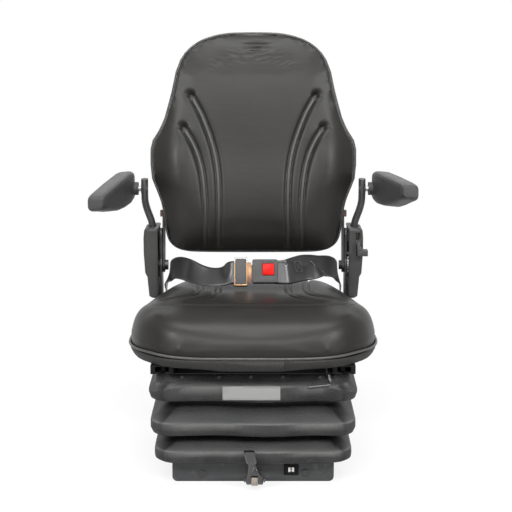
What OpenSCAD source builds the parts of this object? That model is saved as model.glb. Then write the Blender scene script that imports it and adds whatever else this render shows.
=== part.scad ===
// Suspension seat for a tractor or work machine. Millimetres, Z up, the seat faces -Y, X to the right.
// The origin is the middle of the floor bolt pattern, on the underside of the base tray.

/* [Base tray] */
// Width of the base tray
base_w = 316; // [306:1:322]
// Room in the tray ahead of the lower rollers
roller_room = 58; // [54:1:62]
// Rear of the tray, behind the bolt pattern
base_rear = 150; // [146:1:156]
// Height of the tray walls
base_h = 45; // [44:0.5:46]
// Sheet thickness of the tray
base_t = 3; // [2.5:0.1:3.2]
// Floor bolt spacing across
bolt_dx = 220; // [200:1:230]
// Floor bolt spacing front to rear
bolt_dy = 230; // [210:1:236]
// Floor bolt hole
bolt_d = 9; // [8:0.1:11]
// Front plug
plug_d = 16; // [12:0.5:18]

/* [Scissor linkage] */
// Length of a scissor arm between its end pivots
arm_len = 270; // [268:0.5:273]
// Width of a scissor arm
arm_w = 28; // [24:1:30]
// Thickness of a scissor arm
arm_t = 6; // [5:0.1:6.5]
// Shaft of the two fixed pivots
shaft_d = 14; // [12:0.5:16]
// Pin where the arms cross
cross_d = 12; // [10:0.5:13]
// Track roller
roller_d = 28; // [26:0.5:29]
// Tread of a track roller
roller_w = 10; // [8:0.5:11]
// Wire of the tension springs
wire_d = 4; // [3:0.1:5]
// Body of the damper
damper_d = 30; // [26:1:34]
// Piston rod of the damper
damper_rod_d = 10; // [8:0.5:12]

/* [Bellows] */
// Wall of the rubber bellows
bellows_t = 2.5; // [2:0.1:3]
// Corner radius of the folds
fold_r = 46; // [40:1:52]
// How far the valleys lie inside the ridges
fold_deep = 30; // [24:1:34]

/* [Slide rails] */
// Distance between the two rails
rail_gap = 345; // [341:1:349]
// Length of the lower rails
lower_rail_len = 300; // [280:1:310]
// Length of the upper rails
upper_rail_len = 340; // [320:1:350]
// Width of the upper rails
rail_w = 44; // [40:1:46]

/* [Seat cushion] */
// Width of the seat cushion
cushion_w = 482; // [476:1:486]
// Depth of the seams in the cushions
groove_deep = 7; // [4:0.5:9]
// Half width of a seam groove
groove_half = 5; // [4:0.2:6]
// Piping on the edges
piping_d = 6; // [5:0.2:6.6]

/* [Backrest] */
// Width over the side bolsters
backrest_w = 426; // [420:1:430]
// Thickness of the foam in the middle
back_foam = 44; // [40:1:48]
// Thickness of the moulded shell
back_shell = 30; // [26:1:34]
// Thickness of the hinge arms and brackets
hinge_t = 5; // [4.5:0.1:5.2]
// Shaft of the backrest hinge
hinge_d = 14; // [12:0.5:16]

/* [Armrests] */
// Length of an armrest pad
pad_len = 270; // [250:1:280]
// Width of an armrest pad at its rear
pad_w = 42; // [38:1:46]
// Hinge pin of an armrest
pad_pin_d = 12; // [10:0.5:14]
// Thickness of the oval armrest post
post_t = 15; // [13:0.5:15.5]
// Depth of the oval armrest post
post_d = 30; // [26:1:32]

/* [Lap belt] */
// Width of the webbing
web_w = 48; // [44:1:50]
// Thickness of the webbing
web_t = 1.6; // [1.2:0.1:2]
// Side of the release button
button_w = 24; // [20:0.5:26]

/* [Controls] */
// Rod of the slide lever
lever_d = 7; // [6:0.2:7.6]
// Spindle of the weight adjuster
spindle_d = 12; // [10:0.5:13]
// Hub of the weight adjuster
hub_d = 27; // [24:0.5:28]

/* [Hidden] */
$fn = 48;
// running fit on the radius, and gap where one piece is seated in another
fit = 0.05;
seat_gap = 0.3;

// scissor linkage: lower pivot and upper pivot at the rear, rollers at the front
low_z = 22;
top_z = 200;
pivot_y = 127;
arm_angle = asin((top_z - low_z) / arm_len);
roll_y = pivot_y - arm_len * cos(arm_angle);
base_front = roller_room - roll_y;
mid_y = (base_rear - base_front) / 2;
tray_hy = (base_rear + base_front) / 2;
cross_y = (pivot_y + roll_y) / 2;
cross_z = (low_z + top_z) / 2;
outer_x = base_w / 2 - 31;
inner_x = outer_x - arm_t - 2;
outer_tie = [roll_y, top_z] + ([pivot_y, low_z] - [roll_y, top_z]) * 0.25;
inner_tie = [roll_y, low_z] + ([pivot_y, top_z] - [roll_y, low_z]) * 0.2;
// room for the small play that a straight coupling leaves
cross_play = 1.3;
track_play = 1.6;
axle_d = 10;
track_x = base_w / 2 - 15;
track_t = 2.5;

// upper frame and rails
frame_top = 224;
frame_drop = 15;
frame_hx = base_w / 2 + 29 - bellows_t - seat_gap;
frame_hy = tray_hy + 18 - bellows_t - seat_gap;
rail_z = frame_top;
pan_z = 246;
pan_t = 3;
cushion_z = pan_z + pan_t;

// hinge, side covers, armrests
hinge_y = 200;
hinge_z = 365;
shell_x = backrest_w / 2 - 22.8;
arm_x = shell_x + seat_gap;
bracket_x = arm_x + hinge_t + 0.5;
cover_x = bracket_x + hinge_t + seat_gap;
post_x = cover_x + 15.7;
back_bolt_y = 222;
back_bolt_z = 474;
lever_y = 188;
lever_z = 392;
pad_y = 200;
pad_z = 531;

// belt
belt_y = 60;
belt_z = 378;
belt_tilt = 20;

// adjuster
spin_x = 3;
spin_z = 22;
fold_y = -base_front - 53;

function unit(v) = v / norm(v);

// a smooth curve through the listed points, n steps from one to the next
function curve_point(a, b, c, d, t) = 0.5 * (2 * b + (c - a) * t
    + (2 * a - 5 * b + 4 * c - d) * t * t + (3 * b - a - 3 * c + d) * t * t * t);
function curve(p, n) = concat(
    [for (i = [0:len(p) - 2], k = [0:n - 1])
        curve_point(p[max(i - 1, 0)], p[i], p[i + 1], p[min(i + 2, len(p) - 1)], k / n)],
    [p[len(p) - 1]]);

// an oval outline with half sizes a and b, for sweeping
function oval(a, b, n) = [for (i = [0:n - 1]) [a * cos(360 * i / n), b * sin(360 * i / n)]];

// an outline with rounded corners, n steps a corner
function round_box(hx, hy, r, n) = [for (q = [0:3], i = [0:n])
    let (a = q * 90 + i * 90 / n, sx = (q == 0 || q == 3) ? 1 : -1, sy = q < 2 ? 1 : -1)
        [sx * (hx - r) + r * cos(a), sy * (hy - r) + r * sin(a)]];

// rings of a shape carried along a path, with u the side direction at each station
function carried(path, side, shape) = [for (i = [0:len(path) - 1])
    let (t = unit(path[min(i + 1, len(path) - 1)] - path[max(i - 1, 0)]),
        v = unit(cross(t, side[i])), u = cross(v, t))
        [for (p = shape) path[i] + u * p[0] + v * p[1]]];

function side_faces(n, m, k) = [for (i = [0:n - 1]) [k * n + i, ((k + 1) % m) * n + i,
    ((k + 1) % m) * n + (i + 1) % n]];
function side_faces_2(n, m, k) = [for (i = [0:n - 1]) [k * n + i,
    ((k + 1) % m) * n + (i + 1) % n, k * n + (i + 1) % n]];

// a solid through a row of rings, closed by its first and last ring, whose faces fan out from one corner
module skin(rings, corner = 0) {
    n = len(rings[0]);
    m = len(rings);
    polyhedron(points = [for (r = rings) for (p = r) p],
        faces = concat([[for (i = [0:n - 1]) (corner + i) % n]],
            [[for (i = [0:n - 1]) (m - 1) * n + (corner + n - i) % n]],
            [for (k = [0:m - 2]) each side_faces(n, m, k)],
            [for (k = [0:m - 2]) each side_faces_2(n, m, k)]), convexity = 8);
}

// a solid through rings whose last ring runs on into the first
module ring_skin(rings) {
    n = len(rings[0]);
    m = len(rings);
    polyhedron(points = [for (r = rings) for (p = r) p],
        faces = concat([for (k = [0:m - 1]) each side_faces(n, m, k)],
            [for (k = [0:m - 1]) each side_faces_2(n, m, k)]), convexity = 8);
}

module both_sides() {
    children();
    mirror([1, 0, 0]) children();
}

// a cylinder along X from x0 to x1
module rod_x(x0, x1, d, y, z) {
    translate([x0, y, z]) rotate([0, 90, 0]) cylinder(h = x1 - x0, d = d);
}

// a cylinder along Y from y0 to y1
module rod_y(y0, y1, d, x, z) {
    translate([x, y0, z]) rotate([-90, 0, 0]) cylinder(h = y1 - y0, d = d);
}

// a flat bar with round ends in the YZ plane, from point a to point b, thickness from x0 to x1
module link(x0, x1, w, a, b) {
    translate([x0, 0, 0]) rotate([90, 0, 90]) linear_extrude(height = x1 - x0) {
        translate(a) circle(d = w);
        translate(b) circle(d = w);
        translate(a) rotate(atan2(b[1] - a[1], b[0] - a[0])) translate([0, -w / 2])
            square([norm(b - a), w]);
    }
}

// a flat sheet with round corners, seen from above
module plate(hx, y0, y1, r, z, t) {
    translate([0, 0, z]) linear_extrude(height = t) {
        translate([-hx, y0 + r]) square([2 * hx, y1 - y0 - 2 * r]);
        translate([r - hx, y0]) square([2 * hx - 2 * r, y1 - y0]);
        for (x = [r - hx, hx - r], y = [y0 + r, y1 - r]) translate([x, y]) circle(r = r);
    }
}

// Base tray: a pressed tray with turned up walls, rounded lower corners and lugs for the rear shaft
tray_r = 10;
lug_w = 34;
lug_x = base_w / 2 - base_t - 5;
module tray_profile(inset) {
    hx = base_w / 2 - inset;
    r = tray_r - inset;
    translate([inset - base_w / 2, tray_r]) square([2 * hx, base_h + 1 - tray_r + inset]);
    translate([r - hx, inset]) square([2 * hx - 2 * r, base_h + 1]);
    for (x = [r - hx, hx - r]) translate([x, tray_r]) circle(r = r);
}
module base_tray() {
    color([0.16, 0.16, 0.17]) difference() {
        union() {
            difference() {
                translate([0, base_rear, 0]) rotate([90, 0, 0])
                    linear_extrude(height = base_front + base_rear) tray_profile(0);
                translate([0, base_rear - base_t, 0]) rotate([90, 0, 0])
                    linear_extrude(height = base_front + base_rear - 2 * base_t) tray_profile(base_t);
                translate([-base_w, -base_front - 1, base_h])
                    cube([2 * base_w, base_front + base_rear + 2, 20]);
            }
            both_sides() {
                translate([lug_x - 4, pivot_y - lug_w / 2, base_t - 0.5])
                    cube([4, lug_w, low_z + 14 - base_t]);
            }
        }
        both_sides() rod_x(lug_x - 6, lug_x + 2, shaft_d + 2 * fit, pivot_y, low_z);
        for (x = [-bolt_dx / 2, bolt_dx / 2], y = [-bolt_dy / 2, bolt_dy / 2])
            translate([x, y, -1]) cylinder(h = base_t + 2, d = bolt_d);
        rod_y(-base_front - 1, -base_front + base_t + 1, spindle_d + 2 * fit, spin_x, spin_z);
        for (p = plugs) rod_y(-base_front - 1, -base_front + base_t + 1, plug_d - 4, p[0], p[1]);
        translate([window[0] - 7, -base_front - 1, window[1] - 6]) cube([14, base_t + 2, 12]);
    }
}

// Plugs in the front wall, and the weight indicator's bezel with its window
plugs = [[-98.5, 14.5], [102, 16.5]];
window = [74.5, 24];
module front_plugs() {
    color([0.13, 0.13, 0.14]) for (p = plugs) {
        rod_y(-base_front - 1.5, -base_front, plug_d, p[0], p[1]);
        rod_y(-base_front - 0.1, -base_front + base_t + 1, plug_d - 4 - 2 * fit, p[0], p[1]);
    }
}
module indicator_bezel() {
    color([0.08, 0.08, 0.08]) difference() {
        union() {
            translate([window[0] - 14.5, -base_front - 3, window[1] - 10.5]) cube([29, 3, 21]);
            translate([window[0] - 6.9, -base_front - 0.1, window[1] - 5.9])
                cube([13.8, base_t + 0.5, 11.8]);
        }
        translate([window[0] - 5.5, -base_front - 4, window[1] - 4.5]) cube([11, base_t + 20, 9]);
        translate([window[0] - 7.5, -base_front - 4, window[1] - 5.5]) cube([15, 2.5, 11]);
    }
}
module indicator_scale() {
    color([0.9, 0.9, 0.88]) translate([window[0] - 20, -base_front + base_t + 2, window[1] - 8])
        cube([40, 1, 16]);
    color([0.9, 0.9, 0.88]) translate([window[0] - 20, -base_front + base_t + 2.3, base_t])
        cube([40, 1.5, window[1] - 8]);
}
module weight_pointer() {
    color([0.85, 0.3, 0.1]) {
        translate([window[0] - 1, -base_front + base_t + 0.9, window[1] - 4]) cube([2, 0.6, 12.5]);
        translate([window[0] - 1, -base_front + base_t + 0.9, window[1] + 8.3])
            cube([2, 7, 2]);
    }
}

// Tracks for the lower rollers, on the tray floor
track_len = 150;
module track(z0, z1, wall_x) {
    // a channel that opens inwards, its two flanges above and below the roller
    translate([wall_x, -track_len / 2, z0]) cube([track_t, track_len, z1 - z0]);
    translate([wall_x - roller_w - 2, -track_len / 2, z0])
        cube([roller_w + 2.5, track_len, track_t]);
    translate([wall_x - roller_w - 2, -track_len / 2, z1 - track_t])
        cube([roller_w + 2.5, track_len, track_t]);
}
track_low = low_z - roller_d / 2 - track_play - track_t;
track_up = low_z + roller_d / 2 + track_play + track_t;
track_y = roll_y + 31;
module lower_channels() {
    color([0.4, 0.4, 0.42]) both_sides() {
        translate([0, track_y, 0]) track(track_low, track_up, track_x + 3);
        translate([track_x - roller_w + 1, track_y - track_len / 2, base_t])
            cube([roller_w + 2, track_len, track_low - base_t + 0.5]);
    }
}

module lower_pivot_shaft() {
    color([0.75, 0.75, 0.72]) rod_x(-lug_x, lug_x, shaft_d, pivot_y, low_z);
}

// Scissor arms. The outer pair hinges on the lower shaft, the inner pair on the upper shaft
tie_d = 20;
sleeve_d = 24;
module outer_scissor_frame() {
    color([0.2, 0.2, 0.21]) difference() {
        union() {
            both_sides() link(outer_x, outer_x + arm_t, arm_w, [pivot_y, low_z], [roll_y, top_z]);
            rod_x(-outer_x - 0.5, outer_x + 0.5, sleeve_d, pivot_y, low_z);
            rod_x(-outer_x - 1, outer_x + 1, tie_d, outer_tie[0], outer_tie[1]);
            both_sides() rod_x(outer_x, track_x + 2.5, axle_d, roll_y, top_z);
        }
        rod_x(-160, 160, shaft_d + 2 * fit, pivot_y, low_z);
        both_sides() rod_x(outer_x - 1, outer_x + arm_t + 1, cross_d + 2 * fit, cross_y, cross_z);
    }
}
module centre_pivot_pins() {
    color([0.75, 0.75, 0.72]) both_sides() {
        rod_x(inner_x - 3, outer_x + arm_t + 0.5, cross_d, cross_y, cross_z);
        rod_x(outer_x + arm_t, outer_x + arm_t + 3, cross_d + 8, cross_y, cross_z);
        rod_x(inner_x - 6, inner_x - 2, cross_d + 8, cross_y, cross_z);
    }
}
module inner_scissor_frame() {
    color([0.24, 0.24, 0.25]) difference() {
        union() {
            both_sides() link(inner_x, inner_x + arm_t, arm_w, [pivot_y, top_z], [roll_y, low_z]);
            rod_x(-inner_x - 0.5, inner_x + 0.5, sleeve_d, pivot_y, top_z);
            rod_x(-inner_x - 1, inner_x + 1, tie_d - 4, inner_tie[0], inner_tie[1]);
            both_sides() rod_x(inner_x, track_x + 2.5, axle_d, roll_y, low_z);
        }
        rod_x(-160, 160, shaft_d + 2 * fit, pivot_y, top_z);
        both_sides() rod_x(inner_x - 1, inner_x + arm_t + 1, cross_d + 2 * cross_play, cross_y, cross_z);
    }
}
module rollers(z) {
    color([0.85, 0.84, 0.8]) both_sides() difference() {
        rod_x(track_x + 2 - roller_w, track_x + 2, roller_d, roll_y, z);
        rod_x(track_x - 20, track_x + 20, axle_d + 2 * fit, roll_y, z);
    }
}
module upper_rollers() {
    rollers(top_z);
}
module lower_rollers() {
    rollers(low_z);
}

// Spring bar at the rear, pulled by the adjuster's spindle, and the two tension springs
bar_y = 92;
bar_z = 22;
bar_h = 12;
spring_x = 52;
coils = 6;
coil_r = 12;
spring_drop = 15.4;
spring_0 = (tie_d - 4) / 2 + seat_gap;
spring_1 = (bar_y - bar_h / 2 - inner_tie[0]) / cos(spring_drop) - 1;
module spring_bar() {
    color([0.3, 0.3, 0.31]) difference() {
        translate([-70, bar_y - bar_h / 2, bar_z - bar_h / 2]) cube([140, bar_h, bar_h + 6]);
        rod_y(bar_y - 20, bar_y + 20, spindle_d - 2 + 2 * fit, spin_x, spin_z);
    }
}
module tension_springs() {
    n = 7 * coils;
    y0 = spring_0 + 14;
    y1 = spring_1 - 12;
    path = [for (i = [0:n]) [coil_r * sin(360 * i / 7), y0 + (y1 - y0) * i / n, coil_r * cos(360 * i / 7)]];
    color([0.55, 0.55, 0.56]) for (x = [-spring_x, spring_x])
        translate([x, inner_tie[0], inner_tie[1]]) rotate([-spring_drop, 0, 0]) {
            skin(carried(path, [for (i = [0:n]) [sin(360 * i / 7), 0, cos(360 * i / 7)]],
                oval(wire_d / 2, wire_d / 2, 5)));
            rod_y(spring_0, y0 + 1, wire_d, 0, 0);
            rod_y(y1 - 1, spring_1, wire_d, 0, 0);
            for (y = [y0, y1]) translate([-wire_d / 2, y - wire_d / 2, 0]) cube([wire_d, wire_d, coil_r]);
        }
}

// Weight adjuster: a threaded spindle with a hub in front of the tray, and a handle that folds up on it
fork_x = 6;
module adjuster_spindle() {
    color([0.62, 0.58, 0.5]) {
        rod_y(fold_y + 11, -base_front + base_t + 2, spindle_d, spin_x, spin_z);
        rod_y(-base_front + base_t + 1, bar_y + 14, spindle_d - 2, spin_x, spin_z);
        rod_y(-base_front + base_t + fit, -base_front + base_t + 4, spindle_d + 8, spin_x, spin_z);
        difference() {
            union() {
                rod_y(fold_y + 9, fold_y + 25, hub_d, spin_x, spin_z);
                translate([spin_x - fork_x, fold_y - 8, spin_z - 8]) cube([2 * fork_x, 18, 16]);
            }
            rod_x(spin_x - 20, spin_x + 20, 5 + 2 * fit, fold_y, spin_z);
        }
    }
}
module handle_pin() {
    color([0.8, 0.8, 0.78]) {
        rod_x(spin_x - 18.5, spin_x + 18.5, 5, fold_y, spin_z);
        rod_x(spin_x - 20, spin_x - 18, 8, fold_y, spin_z);
        rod_x(spin_x + 18, spin_x + 20, 8, fold_y, spin_z);
    }
}
module adjuster_handle() {
    rows = [[-7, 16, 4.8], [-4, 17, 7], [5, 16.5, 7], [14, 13.5, 6.5], [24, 9.6, 6], [32, 7.4, 5.5],
        [36, 7.2, 5.2], [38.5, 9.6, 6], [43, 10.8, 7], [58, 11, 7], [63, 10, 5.5]];
    color([0.3, 0.29, 0.28]) difference() {
        skin([for (r = rows) [for (p = round_box(r[1], r[2], r[2] - 1, 3))
            [spin_x - max(0, r[0] - 10) * 0.2 + p[0], fold_y - max(0, r[0]) * 0.2 + p[1], spin_z + r[0]]]]);
        translate([spin_x - fork_x - 0.5, fold_y - 30, spin_z - 30]) cube([2 * fork_x + 1, 60, 42.5]);
        rod_x(spin_x - 20, spin_x + 20, 5 + 2 * fit, fold_y, spin_z);
        for (k = [-1:1]) translate([spin_x + 5.2 * k, fold_y, spin_z + 12.5]) rotate([0, -14 * k, 0])
            translate([-1.1, -30, -10]) cube([2.2, 20.5, 30]);
    }
}

// Damper: its tube stands on the tray, its rod hangs from the upper frame
damper_x = -23;
damper_y = 53;
tube_top = 112;
piston_z = 74;
module damper_tube() {
    color([0.12, 0.12, 0.13]) translate([damper_x, damper_y, base_t]) difference() {
        cylinder(h = tube_top - base_t, d = damper_d - 6);
        translate([0, 0, 5]) cylinder(h = tube_top - base_t - 12, d = damper_d - 10);
        cylinder(h = tube_top, d = damper_rod_d + 2 * fit);
        translate([0, 0, -1]) cylinder(h = 3, d = damper_rod_d + 4);
    }
}
module damper_rod() {
    color([0.8, 0.8, 0.8]) translate([damper_x, damper_y, 0]) {
        translate([0, 0, piston_z]) cylinder(h = frame_top - 3 - piston_z, d = damper_rod_d);
        translate([0, 0, piston_z]) cylinder(h = 7, d = damper_d - 10 - 2 * fit);
        translate([0, 0, frame_top - 13]) cylinder(h = 10, d = damper_rod_d + 8);
    }
}

// Bellows: three folds of moulded rubber. Each row is a height and how far
// the rubber stands out from the side and from the front of the tray there
bellows_rows = [[38, bellows_t + seat_gap, bellows_t + seat_gap], [47, 2.8, 2.8], [50.5, 26, 35],
    [54.5, 33, 41.5], [62, 34, 42], [73.7, 33.5, 42], [77, 29, 37], [97, 36 - fold_deep, 40 - fold_deep],
    [101, 36 - fold_deep, 40 - fold_deep], [104.5, 33, 37], [109, 40, 43.5], [120, 41, 44],
    [132, 40.5, 44], [136, 36, 39], [161, 40 - fold_deep, 42 - fold_deep],
    [166, 40 - fold_deep, 42 - fold_deep], [171, 37, 31], [176, 43, 35.5], [190, 44, 36],
    [204, 43, 35.5], [208, 39, 31], [210, 32, 21], [213, 29, 18], [222, 29, 18]];
function wall_point(i, t) =
    let (a = bellows_rows[max(i - 1, 0)], b = bellows_rows[min(i + 1, len(bellows_rows) - 1)],
        v = unit([b[1] - a[1], b[0] - a[0]]), p = bellows_rows[i])
        [(i == 0 || i == len(bellows_rows) - 1) ? p[0] : p[0] + t * v[0],
            p[1] - t * abs(v[1]), p[2] - t * abs(v[1])];
function bellows_ring(q, r) = [for (p = round_box(base_w / 2 + q[1], tray_hy + q[2], r, 5)) [p[0], p[1] + mid_y, q[0]]];
module bellows() {
    last = len(bellows_rows) - 1;
    color([0.2, 0.2, 0.2]) ring_skin(concat(
        [for (i = [0:last]) bellows_ring(wall_point(i, 0), bellows_corner(i))],
        [for (i = [last:-1:0]) bellows_ring(wall_point(i, bellows_t), i < 2 ? 0.5 : bellows_corner(i) - 1)]));
}
function bellows_corner(i) =
    bellows_rows[i][1] > 17 && i < 20 ? fold_r : i < 2 ? 3 : i > 19 ? 20 : fold_r - 14;

// Upper frame: a pressed plate with turned down edges, channels for the upper rollers and rear lugs
up_low = top_z - roller_d / 2 - track_play - track_t;
up_top = top_z + roller_d / 2 + track_play + track_t;
module upper_frame_plate() {
    color([0.12, 0.12, 0.13]) difference() {
        union() {
            difference() {
                plate(frame_hx, mid_y - frame_hy, mid_y + frame_hy, 20, frame_top - frame_drop, frame_drop);
                plate(frame_hx - 3, mid_y - frame_hy + 3, mid_y + frame_hy - 3, 17,
                    frame_top - frame_drop - 1, frame_drop - 2);
            }
            both_sides() {
                translate([0, track_y, 0]) track(up_low, up_top, track_x + 3);
                translate([track_x + 3, track_y - track_len / 2, up_low])
                    cube([track_t, track_len, frame_top - 1 - up_low]);
                translate([inner_x + arm_t + 14, pivot_y - lug_w / 2, top_z - 14])
                    cube([4, lug_w, frame_top - 1 - top_z + 14]);
            }
        }
        both_sides() rod_x(inner_x, inner_x + arm_t + 30, shaft_d + 2 * fit, pivot_y, top_z);
    }
}
module upper_pivot_shaft() {
    hx = inner_x + arm_t + 18;
    color([0.75, 0.75, 0.72]) rod_x(-hx, hx, shaft_d, pivot_y, top_z);
}
module bellows_clips() {
    color([0.1, 0.1, 0.1]) for (x = [-136, -65, -4, 57, 128])
        rod_y(mid_y - tray_hy - 18 - seat_gap - 2, mid_y - tray_hy - 18 - seat_gap + 0.2, 7, x, 217);
}

// Slide rails: lower rails with a T head, upper rails that close round them, nylon glides between
head_w = 24;
head_t = 4;
web_h = 9;
upper_z0 = rail_z + 5;
module lower_rails() {
    y0 = mid_y - lower_rail_len / 2;
    color([0.5, 0.5, 0.5]) for (x = [-rail_gap / 2, rail_gap / 2]) translate([x, y0, rail_z]) {
        translate([-rail_w / 2 + 4, 0, 0]) cube([rail_w - 8, lower_rail_len, 3]);
        translate([-4, 0, 2.5]) cube([8, lower_rail_len, web_h + 1]);
        translate([-head_w / 2, 0, 3 + web_h]) cube([head_w, lower_rail_len, head_t]);
    }
}
module rail_glides() {
    top = pan_z - 3 - fit;
    color([0.85, 0.85, 0.8]) for (x = [-rail_gap / 2, rail_gap / 2], y = [-115, 115])
        translate([x - head_w / 2, mid_y + y - 20, rail_z + 3 + web_h + head_t])
            cube([head_w, 40, top - rail_z - 3 - web_h - head_t]);
}
module upper_rails() {
    y0 = mid_y - 8 - upper_rail_len / 2;
    h = pan_z - upper_z0;
    color([0.1, 0.1, 0.1]) for (x = [-rail_gap / 2, rail_gap / 2]) translate([x, y0, upper_z0])
        difference() {
            translate([-rail_w / 2, 0, 0]) cube([rail_w, upper_rail_len, h]);
            translate([-rail_w / 2 + 3, -1, 3]) cube([rail_w - 6, upper_rail_len + 2, h - 6]);
            translate([-6, -1, -1]) cube([12, upper_rail_len + 2, 6]);
        }
}
module rail_end_caps() {
    y0 = mid_y - 8 - upper_rail_len / 2;
    color([0.07, 0.07, 0.07]) for (x = [-rail_gap / 2, rail_gap / 2])
        translate([x - rail_w / 2, y0 - 4, upper_z0]) difference() {
            cube([rail_w, 4, pan_z - upper_z0]);
            translate([rail_w / 2 - 13, -1, -1]) cube([26, 6, 15.2]);
        }
}

// Seat pan with ears for the hinge brackets
pan_hx = bracket_x - 10;
ear_x = cover_x + 14.7;
module seat_pan() {
    color([0.1, 0.1, 0.1]) {
        plate(pan_hx, -192, 206, 60, pan_z, pan_t);
        both_sides() translate([pan_hx - 60, 160, pan_z]) cube([ear_x - pan_hx + 60, 36, pan_t]);
        translate([-ear_x, 190, pan_z]) cube([2 * ear_x, 46, pan_t]);
    }
}

// Cushion section: from the middle over two seams to the edge, the rim band and the bottom
function pad_half(w, ht, he, g1, g2, d1, d2, bulge) = let (s = g2 + groove_half) concat(
    [[0, ht], [g1 * 0.5, ht], [g1 - groove_half, ht], [g1, ht - d1],
        [g1 + groove_half, ht + bulge * 0.3], [(g1 + g2) / 2, ht + bulge * 0.5],
        [g2 - groove_half, ht + bulge * 0.3], [g2, ht - d2], [s, ht + bulge * 0.3]],
    [for (a = [12, 30, 48, 65, 80]) [s + (w - s) * pow(sin(a), 0.5),
        he + (ht + bulge - he) * pow(cos(a), 0.5)]],
    [[w, he], [w - 1.5, he * 0.6], [w - 4, 0]]);
function pad_ring(h) = concat(h, [for (i = [len(h) - 1:-1:1]) [-h[i][0], h[i][1]]]);

// Seat cushion rows: y, half width, top height, height of the piping, seam depth
sx = cushion_w / 482;
seat_rows = [[-206, 60, 271, 268.5, 0], [-204.5, 98, 284, 268.5, 0], [-201, 130, 300, 269, 0],
    [-194, 157, 314, 270, 0], [-184, 176, 327, 271, 0], [-168, 194, 338, 271.5, 0],
    [-145, 213, 344, 270, 0], [-128, 223, 345.5, 268.5, 0.1], [-120, 226, 342.5, 268, 0.2],
    [-110, 230, 345.5, 267, 0.4], [-90, 236, 346, 265.5, 0.8], [-60, 240.5, 345, 264, 1],
    [-25, 241, 342.5, 263, 1], [10, 239, 340, 262, 1], [45, 234, 338, 262, 1],
    [80, 225, 338, 262, 1], [110, 213, 340, 262, 1], [135, 199, 342.5, 262, 0.8],
    [155, 188, 344, 262, 0.5], [172, 180, 342, 262, 0.2], [187, 168, 334, 262, 0],
    [197, 150, 320, 262, 0], [203, 122, 300, 262, 0], [206, 90, 275, 262, 0]];
seam_in = [[-110, 135], [-85, 128], [-60, 104], [-30, 86], [0, 76], [45, 72], [100, 75], [206, 78]];
seam_out = [[-110, 178], [-60, 172], [-25, 144], [0, 120], [50, 109], [100, 113], [206, 118]];
// the rear corners stay clear of the hinge brackets and of the belt anchors inside them
function corner_room(y) = y > 180 ? 27 : 7;
function seat_w(r) = r[0] < 150 ? r[1] : min(r[1], (bracket_x - corner_room(r[0])) / sx);
function seat_seams(r) = [min(lookup(r[0], seam_in), 0.4 * r[1]), min(lookup(r[0], seam_out), 0.66 * r[1])];
function seat_ring(r) = let (g = seat_seams(r), top = r[2] - cushion_z, edge = r[3] - cushion_z)
    [for (p = pad_ring(pad_half(seat_w(r), top, edge, g[0], g[1], groove_deep * r[4], groove_deep * r[4], 0)))
        [p[0] * sx, r[0], p[1] + cushion_z]];
module cushion() {
    color([0.13, 0.12, 0.12]) skin([for (r = seat_rows) seat_ring(r)], 16);
}

// Piping round an edge line: the outline's right half is mirrored for the left
function edge_loop(half) = concat(half,
    [for (i = [len(half) - 1:-1:0]) [-half[i][0], half[i][1], half[i][2]]]);
function loop_normal(p, i, up) = let (n = len(p)) unit(cross(p[(i + 1) % n] - p[(i + n - 1) % n], up));
function piping_rings(p, up, r, gap) = [for (i = [0:len(p) - 1])
    let (out = loop_normal(p, i, up),
        w = unit(cross(p[(i + 1) % len(p)] - p[(i + len(p) - 1) % len(p)], out)))
        [for (k = [0:5]) p[i] + out * (r + gap + r * cos(60 * k)) + w * r * sin(60 * k)]];
module cushion_trim() {
    loop = edge_loop([for (r = seat_rows) [seat_w(r) * sx, r[0], r[3]]]);
    color([0.2, 0.2, 0.2]) ring_skin(piping_rings(loop, [0, 0, 1], piping_d / 2, seat_gap));
}

// Hinge brackets on the seat pan. They carry the backrest arms, side covers and armrest posts
module bracket() {
    difference() {
        union() {
            link(bracket_x, bracket_x + hinge_t, 44, [hinge_y, cushion_z + 40], [hinge_y, hinge_z]);
            link(bracket_x, bracket_x + hinge_t, 30, [hinge_y, hinge_z], [hinge_y, 431]);
            translate([bracket_x, 164, cushion_z]) cube([hinge_t, 70, 40]);
            translate([bracket_x, 164, cushion_z]) cube([ear_x - bracket_x, 70, 4]);
        }
        for (y = [178, 220]) translate([bracket_x + 13, y, cushion_z - 1]) cylinder(h = 6, d = 6.2);
    }
}
module hinge_bracket_left() {
    color([0.12, 0.12, 0.12]) mirror([1, 0, 0]) difference() {
        bracket();
        rod_x(bracket_x - 1, bracket_x + hinge_t + 1, hinge_d + 2 * fit, hinge_y, hinge_z);
    }
}
module hinge_bracket_right() {
    color([0.12, 0.12, 0.12]) difference() {
        bracket();
        rod_x(bracket_x - 1, bracket_x + hinge_t + 1, hinge_d + 2 * fit, hinge_y, hinge_z);
    }
    color([0.7, 0.7, 0.7]) rod_x(bracket_x + hinge_t - 0.5, post_x + 7, 8, lever_y, lever_z);
}
module bracket_bolts() {
    color([0.72, 0.66, 0.4]) both_sides() for (y = [178, 220]) translate([bracket_x + 13, y, cushion_z + 4])
        cylinder(h = 4, d = 10, $fn = 6);
}

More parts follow.
